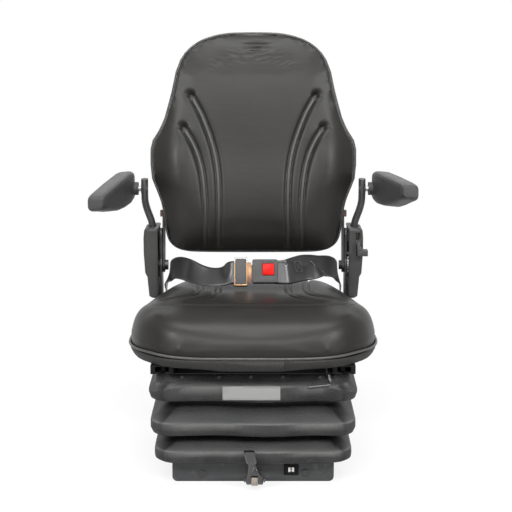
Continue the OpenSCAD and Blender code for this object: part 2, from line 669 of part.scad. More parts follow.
// Side covers: moulded plastic, open towards the bracket. Each row is a height and the width
cover_rows = [[300, 19.7], [304, 21.7], [346, 25.2], [350, 27.7], [354, 29.7], [397, 32.2], [430, 32.2],
    [446, 30.7], [451, 26.7]];
cover_y = 42;
module cover_body() {
    difference() {
        skin([for (r = cover_rows) let (hx = r[1] / 2, e = (r[0] < 302 || r[0] > 449) ? 3 : 0)
            [for (p = round_box(hx - e / 2, cover_y - e, 7, 4))
                [cover_x + hx - e / 2 + p[0], hinge_y + p[1], r[0]]]]);
        translate([cover_x - 1, hinge_y - cover_y + 3, 332])
            cube([post_x + post_t / 2 + 1.2 - cover_x, 2 * cover_y - 6, 115]);
        translate([post_x - post_t / 2 - 1, hinge_y - post_d / 2 - 1, 440])
            cube([post_t + 2, post_d + 2, 20]);
    }
}
module side_cover_left() {
    color([0.18, 0.18, 0.18]) mirror([1, 0, 0]) cover_body();
}
module side_cover_right() {
    color([0.18, 0.18, 0.18]) difference() {
        cover_body();
        translate([post_x, hinge_y - cover_y - 1, 427]) cube([10, 6, 15]);
        translate([post_x + 1.5, hinge_y - cover_y - 1, 392]) cube([13.5, 50, 24]);
    }
}

// Toothed gate seen in the right cover's window
module recliner_gate() {
    y = hinge_y - cover_y + 3 + seat_gap;
    color([0.55, 0.55, 0.55]) {
        translate([bracket_x + hinge_t, y + 6, 422]) cube([22.5, 3, 20]);
        translate([bracket_x + hinge_t, y + 6, 422]) cube([3, hinge_y - 14 - y - 6, 16]);
        for (k = [0:3]) translate([post_x, y + 1, 426 + 4 * k]) cube([6.5, 6, 2]);
    }
}

// Toothed disc on the right hinge arm, inside the cover
module recliner_sector() {
    x0 = bracket_x + hinge_t + 0.6;
    color([0.6, 0.6, 0.58]) {
        rod_x(arm_x + hinge_t, x0 + 5, hinge_d, hinge_y, hinge_z);
        rod_x(x0, x0 + 5, 44, hinge_y, hinge_z);
        for (k = [0:17]) translate([x0, hinge_y, hinge_z]) rotate([20 * k, 0, 0])
            translate([0, -2, 21]) cube([5, 4, 3.5]);
    }
}

// Hinge bolts seen inside the two arms
module pivot_bolts() {
    color([0.75, 0.68, 0.38]) mirror([1, 0, 0]) {
        rod_x(arm_x - 0.5, bracket_x + hinge_t + 2, hinge_d, hinge_y, hinge_z);
        rod_x(arm_x - 7, arm_x - seat_gap, hinge_d + 8, hinge_y, hinge_z);
        rod_x(bracket_x + hinge_t + seat_gap, bracket_x + hinge_t + 7, hinge_d + 8, hinge_y, hinge_z);
    }
}

// Recline lever on a pin of the right bracket
module recline_lever() {
    color([0.1, 0.1, 0.1]) difference() {
        union() {
            rod_x(post_x - 7, post_x + 6, 18, lever_y, lever_z);
            translate([post_x + 2.6, 140, lever_z + 4]) cube([3.4, 50, 9]);
            translate([post_x + 3, 130, lever_z + 5]) cube([21, 21, 12]);
            translate([post_x, 146, 0]) rotate([90, 0, 0]) linear_extrude(height = 5)
                polygon([[2.6, lever_z + 4], [15, lever_z + 5], [14, lever_z + 17], [5.5, lever_z + 35],
                    [2.6, lever_z + 35]]);
        }
        rod_x(post_x - 17, post_x + 13, 8 + 2 * fit, lever_y, lever_z);
    }
}

// Slide lever: a bent rod under the pan with a straight grip in front
slide_x = 142;
module slide_lever() {
    f = -base_front;
    path = curve([[slide_x, -60, 235], [slide_x, -100, 235], [slide_x, f - 16, 235.5], [slide_x, f - 56, 236],
        [slide_x, f - 69, 234], [slide_x + 2.5, f - 74, 226], [slide_x + 2, f - 76, 220],
        [slide_x - 4, f - 77, 217.5], [slide_x - 12, f - 78, 217], [slide_x - 26, f - 79.5, 216],
        [slide_x - 40, f - 81, 215.2]], 2);
    n = len(path) - 1;
    color([0.12, 0.12, 0.12]) {
        skin(carried(path, [for (i = [0:n]) let (t = min(1, max(0, (i - 10) / 3))) [1 - t, 0.2, t]],
            oval(lever_d / 2, lever_d / 2, 10)));
        rod_x(slide_x - 4, rail_gap / 2 - rail_w / 2 - seat_gap, 8, -100, 235);
    }
}

// Armrest posts: bent oval bars bolted to the brackets inside the covers
post_out = 15;
module armrest_posts() {
    path = curve([[post_x, pad_y, 424], [post_x, pad_y, 450], [post_x + 2, pad_y, 463],
        [post_x + 10, pad_y, 485], [post_x + 14.4, pad_y, 503], [post_x + post_out, pad_y, 520],
        [post_x + post_out, pad_y, 552]], 2);
    color([0.16, 0.16, 0.16]) both_sides() difference() {
        union() {
            skin(carried(path, [for (p = path) [1, 0, 0]], oval(post_t / 2, post_d / 2, 18)));
            translate([bracket_x + hinge_t, 193.5, 425]) cube([post_x - bracket_x - hinge_t, 13, 20]);
            rod_x(post_x + post_out - 6, post_x + post_out + post_t / 2 - 0.5, 26, pad_y, pad_z);
        }
        rod_x(post_x, post_x + 40, pad_pin_d + 2 * fit, pad_y, pad_z);
    }
}

// Armrest pads. Rows: distance forward, outward shift, half width, bottom and top
pad_rows = [[-14, 0, 0.72, -16, 24], [-11, 0, 0.88, -23, 31], [-4, 0.2, 1, -29, 36], [20, 2.5, 1, -32, 38],
    [60, 8, 1, -31, 37], [110, 15, 1, -27, 36], [160, 21, 0.98, -18, 34.5], [210, 27, 0.96, -7, 33.5],
    [235, 29.5, 0.92, -2, 32], [248, 30.5, 0.8, 2, 29.5], [254, 31, 0.62, 7, 25]];
pad_x = post_x + 36;
module pad(pitch) {
    k = (pad_len - 14) / 254;
    translate([0, pad_y, pad_z]) rotate([pitch, 0, 0]) difference() {
        union() {
            skin([for (i = [len(pad_rows) - 1:-1:0])
                let (r = pad_rows[i], hx = pad_w / 2 * r[2], hz = (r[4] - r[3]) / 2)
                [for (p = round_box(hx, hz, min(hx, hz) * 0.62, 4))
                    [-pad_x - pad_w / 2 - r[1] - p[0], -r[0] * k, (r[3] + r[4]) / 2 + p[1] - p[0] * 0.1]]]);
            rod_x(-pad_x - 10, 8 - pad_x - seat_gap, 28, 0, 0);
        }
        rod_x(-pad_x - 14, 20 - pad_x, pad_pin_d + 2 * fit, 0, 0);
    }
}
left_pitch = 2.2;
right_pitch = -2.8;
module armrest_left() {
    color([0.11, 0.11, 0.11]) pad(left_pitch);
}
module armrest_right() {
    color([0.11, 0.11, 0.11]) mirror([1, 0, 0]) pad(right_pitch);
}
module armrest_pins() {
    color([0.5, 0.5, 0.5]) both_sides() rod_x(post_x + post_out - 6, pad_x + 13, pad_pin_d, pad_y, pad_z);
}

// Lap belt: webbing from an anchor on each bracket, a frame with its tongue, and the buckle
module web(path, side) {
    h = web_w / 2;
    t = web_t / 2;
    p = curve(path, 3);
    s = curve(side, 3);
    edge = 0.85 * t;
    across = [[-h, -edge], [-h / 3, -t], [h / 3, -t], [h, -edge], [h, edge], [h / 3, t], [-h / 3, t], [-h, edge]];
    skin(carried(p, s, across));
}
anchor_y = 192;
anchor_z = 288;
web_x = bracket_x - 8;
module belt_anchors() {
    color([0.74, 0.67, 0.4]) both_sides() {
        rod_x(web_x + web_t / 2 + 0.1, bracket_x, 22, anchor_y, anchor_z);
        rod_x(web_x - web_t / 2 - 4, web_x - web_t / 2 - 0.1, 18, anchor_y, anchor_z);
        rod_x(web_x - 2, web_x + 2, 10, anchor_y, anchor_z);
    }
}
module belt_left() {
    color([0.12, 0.12, 0.12]) difference() {
        web([[-web_x, anchor_y, 272], [-web_x, anchor_y, 288], [-web_x, anchor_y, 304], [1.5 - web_x, 186, 332],
            [8 - web_x, 166, 358], [17 - web_x, 140, 371], [-146, 116, 371], [-118, 97, 365], [-90, 84, 363],
            [-64, 75, 365], [-47, 66, 374.5], [-36, 64.42, 376.4]],
            [[0, 1, 0], [0, 1, 0], [0, 1, 0], [0.05, 0.97, 0.2], [0.25, 0.8, 0.5], [0.3, 0.75, 0.5],
            [0.2, 0.75, 0.65], [0.05, 0.8, 0.6], [0, 0.85, 0.5], [0, 0.75, 0.65], [0, 0.4, 0.9],
            [0, 0.342, 0.94]]);
        rod_x(-web_x - 5, -web_x + 5, 10.2, anchor_y, anchor_z);
    }
}
module belt_right() {
    color([0.12, 0.12, 0.12]) difference() {
        web([[web_x, anchor_y, 272], [web_x, anchor_y, 288], [web_x, anchor_y, 304], [web_x - 1.5, 187, 330],
            [web_x - 4.5, 163, 355], [web_x - 12, 138, 373], [web_x - 28, 120, 384], [138, 108, 390], [112, 99, 388.5],
            [88, 83, 384], [72, 63.5, 379], [62, 61, 378], [51.2, 61, 378]],
            [[0, -1, 0], [0, -1, 0], [0, -1, 0], [0.05, -0.97, -0.2], [0.15, -0.8, -0.6], [0.25, -0.6, -0.75],
            [0.2, -0.45, -0.87], [0.1, -0.35, -0.93], [0.05, -0.28, -0.95], [0, -0.3, -0.95],
            [0, -0.34, -0.94], [0, -0.342, -0.94], [0, -0.342, -0.94]]);
        rod_x(web_x - 5, web_x + 5, 10.2, anchor_y, anchor_z);
    }
}
module at_buckle() {
    translate([0, belt_y, belt_z]) rotate([-belt_tilt, 0, 0]) children();
}
module slab(x0, x1, z0, z1, r, y0, y1) {
    translate([0, y1, 0]) rotate([90, 0, 0]) linear_extrude(height = y1 - y0) {
        translate([x0 + r, z0]) square([x1 - x0 - 2 * r, z1 - z0]);
        translate([x0, z0 + r]) square([x1 - x0, z1 - z0 - 2 * r]);
        for (x = [x0 + r, x1 - r], z = [z0 + r, z1 - r]) translate([x, z]) circle(r = r);
    }
}
module belt_tongue() {
    color([0.78, 0.7, 0.42]) at_buckle() {
        difference() {
            slab(-39, -12, -30, 30, 3.5, -7, 7);
            slab(-36.5, -14.5, -25.5, 25.5, 1.5, -8, 2);
            translate([-40, 3.5, -25.5]) cube([6, 2.4, 51]);
        }
        slab(-13, 9, -17, 15, 2, -1.5, 1.5);
        slab(-13, -4.5, -23, 20, 3, -1.5, 1.5);
    }
}
module tongue_cover() {
    color([0.1, 0.1, 0.1]) at_buckle() slab(-36.5 + fit, -14.5 - fit, -25.5 + fit, 25.5 - fit, 1.4, -7.6, 2);
}
button_x = 31;
button_z = 4;
module buckle_housing() {
    h = button_w / 2 + 0.3;
    color([0.1, 0.1, 0.1]) at_buckle() difference() {
        slab(-2, 50, -23, 25, 4, -11, 11);
        slab(button_x - h, button_x + h, button_z - h, button_z + h, 2, -12, -3);
        translate([-4, -1.9, -17.5]) cube([14, 3.8, 33]);
    }
}
module red_button() {
    h = button_w / 2;
    color([0.9, 0.15, 0.12]) at_buckle()
        slab(button_x - h, button_x + h, button_z - h, button_z + h, 2, -12.5, -7.5);
}

// Backrest: the shell, the foam in its cover and the piping lean back together
lean = 0.176;
back_rows = [[402, 0.55, 14, 0], [404, 0.66, 22, 0], [407.5, 0.735, 30, 0], [414, 0.79, 39, 0.5],
    [425, 0.835, 43, 1], [450, 0.86, 46, 1], [479, 0.876, 48, 1], [503.5, 0.897, 49, 1],
    [531, 0.95, 49, 1], [550, 0.985, 48, 1], [579, 1, 46, 1], [612, 1, 44, 1], [631, 0.978, 44, 1],
    [650, 0.92, 44, 1], [664, 0.887, 44, 0.7], [679, 0.857, 44, 0.5], [711, 0.815, 44, 0.5], [732, 0.789, 43.5, 0.2],
    [750, 0.77, 43, 0], [775, 0.746, 42, 0], [800, 0.7, 40, 0], [815, 0.654, 38, 0], [826, 0.6, 36, 0],
    [837, 0.52, 32, 0], [844, 0.43, 27, 0], [849.5, 0.33, 21, 0], [853, 0.2, 15, 0]];
back_in = [[400, 73.4], [503, 72.7], [567, 75], [615, 83], [656, 96], [694, 112], [732, 134.7], [860, 150]];
back_out = [[400, 103], [471, 100.9], [519, 102.5], [567, 107.4], [605, 117], [637, 131.6], [663, 149], [740, 160], [860, 160]];
function back_plane(z) = 150 + (z - 402) * lean + back_foam;
function back_w(r) = r[1] * backrest_w / 2;
function outer_fade(z) = z > 668 ? 0 : 1;
function back_ring(r) =
    let (w = back_w(r), g1 = min(lookup(r[0], back_in), 0.42 * w), g2 = min(lookup(r[0], back_out), 0.72 * w),
        g1b = r[0] > 640 ? min(lookup(r[0], back_in), 0.8 * w) : g1, g2b = max(g2, g1b + 2.4 * groove_half),
        he = 12, ht = r[2] + (back_foam - 44), d = groove_deep * r[3])
        [for (p = pad_ring(pad_half(w, ht, he, g1b, g2b, d, d * outer_fade(r[0]), min(8, ht - he) * 0.8)))
            [p[0], back_plane(r[0]) - p[1], r[0]]];
module backrest_cushion() {
    color([0.13, 0.12, 0.12]) skin([for (r = back_rows) back_ring(r)], 16);
}
module backrest_piping() {
    loop = edge_loop([for (r = back_rows) [back_w(r), back_plane(r[0]) - 12, r[0]]]);
    color([0.2, 0.2, 0.2]) ring_skin(piping_rings(loop, [0, -1, 0], piping_d / 2, seat_gap));
}
function shell_w(r) = r[0] < 506 ? min(back_w(r) + 6, shell_x) : back_w(r) + 8;
shell_rows = [for (r = back_rows) if (r[0] > 403) r];
module backrest_shell() {
    color([0.09, 0.09, 0.09]) difference() {
        skin([for (r = shell_rows) let (w = shell_w(r), t = back_shell * min(1, (r[2] - 10) / 28), y = back_plane(r[0]))
            [[-w, y, r[0]], [0, y, r[0]], [w, y, r[0]], [w, y + t * 0.62, r[0]], [w - 9, y + t * 0.9, r[0]],
                [w - 24, y + t, r[0]], [0, y + t + 3, r[0]], [24 - w, y + t, r[0]], [9 - w, y + t * 0.9, r[0]],
                [-w, y + t * 0.62, r[0]]]], 6);
        both_sides() rod_x(shell_x - 12, shell_x + 5, 8 + 2 * fit, back_bolt_y, back_bolt_z);
    }
}
module back_arm() {
    difference() {
        link(arm_x, arm_x + hinge_t, 32, [hinge_y, hinge_z], [back_bolt_y, back_bolt_z]);
        rod_x(arm_x - 1, arm_x + hinge_t + 1, 8 + 2 * fit, back_bolt_y, back_bolt_z);
        children();
    }
}
module back_arm_left() {
    color([0.45, 0.45, 0.45]) mirror([1, 0, 0]) back_arm()
        rod_x(arm_x - 1, arm_x + hinge_t + 1, hinge_d + 2 * fit, hinge_y, hinge_z);
}
module back_arm_right() {
    color([0.45, 0.45, 0.45]) back_arm();
    color([0.75, 0.68, 0.38]) rod_x(arm_x - 6, arm_x + 0.5, 20, hinge_y, hinge_z);
}
module back_bolts() {
    color([0.78, 0.7, 0.35]) both_sides() {
        rod_x(shell_x - 10, arm_x + hinge_t + 0.5, 8, back_bolt_y, back_bolt_z);
        translate([arm_x + hinge_t + 0.1, back_bolt_y, back_bolt_z]) rotate([0, 90, 0]) cylinder(h = 5.5, d = 15, $fn = 6);
    }
}

base_tray();
lower_channels();
front_plugs();
indicator_bezel();
indicator_scale();
weight_pointer();
lower_pivot_shaft();
spring_bar();
tension_springs();
adjuster_spindle();
handle_pin();
adjuster_handle();
outer_scissor_frame();
centre_pivot_pins();
inner_scissor_frame();
upper_rollers();
lower_rollers();
damper_tube();
damper_rod();
bellows();
upper_frame_plate();
upper_pivot_shaft();
bellows_clips();
lower_rails();
rail_glides();
upper_rails();
rail_end_caps();
seat_pan();
cushion();
cushion_trim();
hinge_bracket_left();
hinge_bracket_right();
bracket_bolts();
side_cover_left();
side_cover_right();
recliner_gate();
recliner_sector();
pivot_bolts();
recline_lever();
slide_lever();
armrest_posts();
armrest_left();
armrest_right();
armrest_pins();
belt_anchors();
belt_left();
belt_tongue();
tongue_cover();
buckle_housing();
red_button();
belt_right();
back_arm_left();
back_arm_right();
back_bolts();
backrest_shell();
backrest_cushion();
backrest_piping();
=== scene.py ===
# Suspension seat for a tractor or work machine, dressed on its packed construction.
# Metres, Z up, the sitter faces -Y, X to the viewer's right. The origin is on the floor.
import math

import bmesh
import bpy
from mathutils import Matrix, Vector, noise


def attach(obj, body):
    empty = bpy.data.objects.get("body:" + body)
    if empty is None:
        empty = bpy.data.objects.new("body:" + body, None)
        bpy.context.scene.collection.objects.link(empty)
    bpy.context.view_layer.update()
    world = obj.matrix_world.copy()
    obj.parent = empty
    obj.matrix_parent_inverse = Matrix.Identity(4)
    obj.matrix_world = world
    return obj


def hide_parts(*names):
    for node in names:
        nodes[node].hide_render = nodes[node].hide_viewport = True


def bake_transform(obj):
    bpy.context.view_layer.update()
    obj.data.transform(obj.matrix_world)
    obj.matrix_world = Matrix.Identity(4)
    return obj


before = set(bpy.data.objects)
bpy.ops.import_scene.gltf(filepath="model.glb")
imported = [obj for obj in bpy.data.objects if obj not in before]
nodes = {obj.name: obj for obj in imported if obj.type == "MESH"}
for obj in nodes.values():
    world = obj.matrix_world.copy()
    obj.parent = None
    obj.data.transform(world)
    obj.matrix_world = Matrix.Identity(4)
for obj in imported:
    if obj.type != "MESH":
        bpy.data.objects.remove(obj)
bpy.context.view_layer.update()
scene = bpy.context.scene
scene.view_settings.view_transform = "Standard"


# Camera. A long lens a little above the armrests, square to the front of the seat, as a
# catalogue photograph is taken from. The frame is 512 by 512.
camera_place = (0.0057, -2.507, 0.91518)
camera_down = 11.1
camera_data = bpy.data.cameras.new("camera")
camera_data.lens = 89.86
camera_data.sensor_width = 36
camera = bpy.data.objects.new("camera", camera_data)
camera.location = camera_place
camera.rotation_euler = (math.radians(90 - camera_down), 0, 0)
scene.collection.objects.link(camera)
scene.camera = camera


# Studio. A soft box above the camera, one over the seat, one on each side and a weak one behind,
# so that the black covers show soft highlights on their rolls and bolsters and fall off below.
def lamp(name, place, aim, size, watts):
    data = bpy.data.lights.new(name, "AREA")
    data.shape = "RECTANGLE"
    data.size, data.size_y = size
    data.energy = watts
    made = bpy.data.objects.new(name, data)
    made.location = place
    made.rotation_euler = (Vector(aim) - Vector(place)).to_track_quat("-Z", "Y").to_euler()
    scene.collection.objects.link(made)
    return made


to_seat = (0, 0, 0.6)
lamp("lamp_front", (0.0, -2.7, 2.15), (0, 0.1, 0.6), (1.5, 0.5), 46)
lamp("lamp_above", (0.0, -0.6, 2.6), (0, 0.0, 0.4), (2.0, 0.9), 56)
lamp("lamp_left", (-1.5, -1.9, 1.6), to_seat, (0.5, 0.7), 44)
lamp("lamp_right", (1.5, -1.9, 1.6), to_seat, (0.5, 0.7), 44)
lamp("lamp_back", (0.0, 2.2, 1.8), (0, 0, 0.5), (2.0, 1.0), 14)


# Floor and world. The floor is a pale matt sheet that takes the seat's shadow, and it and what
# lies behind it are white where they are looked at, straight or in a gloss or a clear piece.
class Value:
    """A number that varies over a surface. Python's operators on it add Math nodes."""

    def __init__(self, finish, socket):
        self.finish, self.socket = finish, socket

    def math(self, operation, *values):
        made = self.finish.node("ShaderNodeMath", {"operation": operation}, dict(enumerate(values)))
        return Value(self.finish, made.outputs[0])

    def __add__(self, other):
        return self.math("ADD", self, other)

    def __sub__(self, other):
        return self.math("SUBTRACT", self, other)

    def __mul__(self, other):
        return self.math("MULTIPLY", self, other)

    def __truediv__(self, other):
        return self.math("DIVIDE", self, other)

    def __pow__(self, other):
        return self.math("POWER", self, other)

    def __rsub__(self, other):
        return self.math("SUBTRACT", other, self)

    __radd__ = __add__
    __rmul__ = __mul__

    def above(self, limit, soft):
        """0 below limit - soft, 1 above limit + soft."""
        made = self.finish.node("ShaderNodeMapRange", {"interpolation_type": "SMOOTHSTEP"},
                                {0: self, 1: limit - soft, 2: limit + soft})
        return Value(self.finish, made.outputs[0])


class Finish:
    """A material in the making, with its patterns laid out on the object's own axes."""

    def __init__(self, name, color, roughness, **constants):
        self.material = bpy.data.materials.new(name)
        self.material.use_nodes = True
        self.tree = self.material.node_tree
        self.shader = self.tree.nodes["Principled BSDF"]
        self.feed(self.shader, {"Base Color": (*color, 1), "Roughness": roughness})
        self.feed(self.shader, {key.replace("_", " "): value for key, value in constants.items()})
        self.normal = None
        self.place = self.node("ShaderNodeTexCoord").outputs["Object"]

    def feed(self, node, sockets):
        for key, value in sockets.items():
            if isinstance(value, Value):
                value = value.socket
            if isinstance(value, bpy.types.NodeSocket):
                self.tree.links.new(value, node.inputs[key])
            else:
                node.inputs[key].default_value = value

    def node(self, kind, settings=None, sockets=None):
        """Adds any node: its settings are made first, then its sockets are set or linked."""
        made = self.tree.nodes.new(kind)
        for key, value in (settings or {}).items():
            setattr(made, key, value)
        self.feed(made, sockets or {})
        return made

    def grain(self, scale, detail=2.0, rough=0.5, stretch=(1, 1, 1)):
        """Noise in metres: scale is how many grains there are to a metre."""
        place = self.node("ShaderNodeMapping", None, {"Vector": self.place, "Scale": stretch})
        made = self.node("ShaderNodeTexNoise", None, {"Vector": place.outputs[0], "Scale": scale,
                                                      "Detail": detail, "Roughness": rough})
        return Value(self, made.outputs[0])

    def cells(self, scale):
        """Round cells, dark in their middles: scale is how many there are to a metre."""
        made = self.node("ShaderNodeTexVoronoi", None, {"Vector": self.place, "Scale": scale})
        return Value(self, made.outputs["Distance"])

    def mapped(self):
        """The two numbers of the piece's own map, which follow its length and width."""
        made = self.node("ShaderNodeUVMap", {"uv_map": "UVMap"})
        split = self.node("ShaderNodeSeparateXYZ", None, {0: made.outputs[0]})
        return Value(self, split.outputs[0]), Value(self, split.outputs[1])

    def along(self, axis):
        """The place along X, Y or Z, in metres."""
        split = self.node("ShaderNodeSeparateXYZ", None, {0: self.place})
        return Value(self, split.outputs["XYZ".index(axis)])

    def painted(self, factor, low, high):
        """The base colour runs from low to high with factor."""
        made = self.node("ShaderNodeMix", {"data_type": "RGBA"},
                         {0: factor, 6: (*low, 1), 7: (*high, 1)})
        self.feed(self.shader, {"Base Color": made.outputs[2]})

    def over(self, factor, color):
        """Lays another colour over what is there already."""
        below = self.shader.inputs["Base Color"].links[0].from_socket
        made = self.node("ShaderNodeMix", {"data_type": "RGBA"}, {0: factor, 6: below, 7: (*color, 1)})
        self.feed(self.shader, {"Base Color": made.outputs[2]})

    def painted_on(self, layer):
        """A number that the piece's own vertices carry."""
        return Value(self, self.node("ShaderNodeAttribute", {"attribute_name": layer}).outputs["Fac"])

    def rough(self, value):
        self.feed(self.shader, {"Roughness": value})

    def raised(self, height, metres):
        """A bump of that height in metres where height is 1, on top of the earlier ones."""
        sockets = {"Height": height, "Distance": metres}
        if self.normal:
            sockets["Normal"] = self.normal
        self.normal = self.node("ShaderNodeBump", None, sockets).outputs[0]
        self.feed(self.shader, {"Normal": self.normal})


floor_finish = Finish("floor", (0.93, 0.93, 0.93), 0.9)
floor_bm = bmesh.new()
bmesh.ops.create_grid(floor_bm, x_segments=1, y_segments=1, size=9)
floor_mesh = bpy.data.meshes.new("floor")
floor_bm.to_mesh(floor_mesh)
floor_bm.free()
floor_mesh.materials.append(floor_finish.material)
floor = bpy.data.objects.new("floor", floor_mesh)
scene.collection.objects.link(floor)

shadow_kept = 0.2
shadow_reach = 0.9
white = floor_finish.node("ShaderNodeEmission", None, {"Color": (1, 1, 1, 1), "Strength": 1.0})
path = floor_finish.node("ShaderNodeLightPath")
looked_at = (Value(floor_finish, path.outputs["Is Camera Ray"])
             + Value(floor_finish, path.outputs["Is Glossy Ray"])
             + Value(floor_finish, path.outputs["Is Transmission Ray"]))
away = (floor_finish.along("X") ** 2 + floor_finish.along("Y") ** 2) ** 0.5
keep = looked_at * (1 - shadow_kept * (1 - away.above(shadow_reach, 0.5)))
mixed = floor_finish.node("ShaderNodeMixShader", None, {0: keep, 1: floor_finish.shader.outputs[0],
                                                        2: white.outputs[0]})
floor_finish.tree.links.new(mixed.outputs[0], floor_finish.tree.nodes["Material Output"].inputs[0])

world = bpy.data.worlds.new("studio")
scene.world = world
world.use_nodes = True
sky = world.node_tree
light_path = sky.nodes.new("ShaderNodeLightPath")
seen = sky.nodes.new("ShaderNodeMath")
seen.operation = "MAXIMUM"
looked_through = sky.nodes.new("ShaderNodeMath")
looked_through.operation = "MAXIMUM"
sky.links.new(light_path.outputs["Is Camera Ray"], seen.inputs[0])
sky.links.new(light_path.outputs["Is Glossy Ray"], seen.inputs[1])
sky.links.new(seen.outputs[0], looked_through.inputs[0])
sky.links.new(light_path.outputs["Is Transmission Ray"], looked_through.inputs[1])
strength = sky.nodes.new("ShaderNodeMapRange")
strength.inputs["To Min"].default_value = 0.2
strength.inputs["To Max"].default_value = 1.0
sky.links.new(looked_through.outputs[0], strength.inputs["Value"])
sky.links.new(strength.outputs[0], sky.nodes["Background"].inputs["Strength"])
sky.nodes["Background"].inputs["Color"].default_value = (1, 1, 1, 1)


# Base tray. Pressed steel sheet in a satin near-black paint, with its edges rubbed a little lighter
# and two round plastic plugs in its front. It is bolted to the vehicle's floor.
def piece(name, bm, finish, body, replaced=(), smooth=40):
    """A finished mesh as an object that rides on its body and stands for CAD nodes."""
    mesh = bpy.data.meshes.new(name)
    bm.to_mesh(mesh)
    bm.free()
    mesh.materials.clear()
    mesh.materials.append(finish.material)
    made = bpy.data.objects.new(name, mesh)
    scene.collection.objects.link(made)
    for face in mesh.polygons:
        face.use_smooth = True
    if smooth:
        mesh.set_sharp_from_angle(angle=math.radians(smooth))
    if body:
        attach(made, body)
    if replaced:
        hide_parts(*replaced)
    return made


def solid_copy(node):
    """A copy of a CAD node's mesh, with its loose triangles merged."""
    bm = bmesh.new()
    bm.from_mesh(nodes[node].data)
    bmesh.ops.remove_doubles(bm, verts=bm.verts, dist=2e-5)
    return bm


def softened(node, finish, width, body, angle=32, segments=2):
    """The CAD piece with its sharp edges rounded off, as a press, saw or mould leaves them."""
    bm = solid_copy(node)
    bmesh.ops.dissolve_limit(bm, angle_limit=math.radians(0.6), verts=bm.verts, edges=bm.edges)
    sharp = [e for e in bm.edges if e.is_manifold and e.calc_face_angle(0) > math.radians(angle)]
    bmesh.ops.bevel(bm, geom=sharp, offset=width, offset_type="OFFSET", segments=segments, profile=0.5,
                    affect="EDGES", clamp_overlap=True, material=-1)
    return piece(node + "_finished", bm, finish, body, (node,))


def paint(name, color, roughness=0.42):
    made = Finish(name, color, roughness, Specular_IOR_Level=0.45)
    wear = made.grain(35, 5, 0.65)
    orange_peel = made.grain(420, 2)
    made.painted(wear.above(0.62, 0.08), color, tuple(c * 1.8 + 0.01 for c in color))
    made.rough(roughness + 0.14 * wear)
    made.raised(orange_peel, 0.0001)
    return made


tray_paint = paint("tray_paint", (0.028, 0.029, 0.03), 0.45)
softened("base_tray", tray_paint, 0.0012, "base")
shell_finish = Finish("shell_plastic", (0.02, 0.02, 0.021), 0.5)
shell_grain = shell_finish.cells(1400)
shell_finish.raised(shell_grain, 0.00025)
shell_finish.rough(0.46 + 0.1 * shell_finish.grain(40, 3))
softened("front_plugs", shell_finish, 0.0006, "base")


# Scissor suspension. Two painted sheet frames cross at pins and carry nylon rollers in channels.
# Drawn steel springs pull on a bar, and a damper with a polished rod stands beside them.
def metal(name, color, roughness, tint=None):
    made = Finish(name, color, roughness, Metallic=1.0)
    stain = made.grain(45, 4, 0.6)
    scratches = made.grain(260, 3, 0.5, (1, 6, 1))
    made.painted(stain.above(0.5, 0.22), color, tint or tuple(c * 0.78 for c in color))
    made.rough(roughness + 0.16 * stain)
    made.raised(scratches, 0.00012)
    return made


def coated(finish, *names):
    """Gives CAD pieces that need no other shape their finish."""
    for name in names:
        nodes[name].data.materials.clear()
        nodes[name].data.materials.append(finish.material)


black_paint = paint("black_paint", (0.016, 0.016, 0.017), 0.38)
steel = metal("drawn_steel", (0.42, 0.42, 0.43), 0.34)
bright = metal("polished_steel", (0.7, 0.7, 0.71), 0.16)
nylon = Finish("nylon", (0.03, 0.03, 0.03), 0.45)
nylon.raised(nylon.grain(500, 2), 0.0002)
coated(black_paint, "outer_scissor_frame", "inner_scissor_frame", "spring_bar", "damper_tube")
coated(steel, "lower_channels", "tension_springs")
coated(bright, "lower_pivot_shaft", "upper_pivot_shaft", "centre_pivot_pins", "damper_rod")
coated(nylon, "upper_rollers", "lower_rollers")


# Weight adjuster. A cast and enamelled handle folds up on a zinc hub, whose spindle pulls the
# springs tighter for a heavier sitter.
handle_finish = Finish("handle_enamel", (0.012, 0.0118, 0.0114), 0.2,
                       Specular_IOR_Level=0.6, Coat_Weight=0.6)
handle_finish.raised(handle_finish.grain(140, 3), 0.0003)
handle_finish.rough(0.2 + 0.2 * handle_finish.grain(60, 3))
softened("adjuster_handle", handle_finish, 0.0014, "adjuster_handle", 24, 3)
cast = metal("cast_zinc", (0.36, 0.32, 0.27), 0.36, (0.2, 0.18, 0.16))
softened("adjuster_spindle", cast, 0.0006, "adjuster", 40, 2)
dull = metal("blackened_steel", (0.07, 0.066, 0.06), 0.32)
coated(dull, "handle_pin")


# Weight window. A black bezel pressed into the tray, over a ticked white card in two halves and
# an orange pointer that follows the springs.
pitch_finish = Finish("unlit_black", (0.005, 0.005, 0.005), 0.5, Specular_IOR_Level=0.12)
softened("indicator_bezel", pitch_finish, 0.0005, "base")
coated(Finish("scale_white", (0.8, 0.8, 0.78), 0.35), "indicator_scale")
coated(Finish("pointer_orange", (0.8, 0.2, 0.03), 0.4), "weight_pointer")
ticks_to_a_metre = 1250
card_middle = (0.0745, -0.1349, 0.024)
card_offset = 0.0037
card_finish = Finish("scale_card", (0.9, 0.9, 0.89), 0.3, Coat_Weight=0.5)
card_place = card_finish.along("X") * ticks_to_a_metre
card_ticks = card_place.math("FRACT", card_place).above(0.25, 0.08)
card_finish.painted(card_ticks, (0.35, 0.35, 0.35), (0.92, 0.92, 0.91))
card_bm = bmesh.new()
for side in (-1, 1):
    half = bmesh.ops.create_cube(card_bm, size=1)["verts"]
    bmesh.ops.scale(card_bm, verts=half, vec=(0.0048, 0.0004, 0.0092))
    bmesh.ops.translate(card_bm, verts=half, vec=Vector(card_middle) + Vector((side * card_offset, 0, 0)))
piece("scale_card", card_bm, card_finish, "base", (), 20)


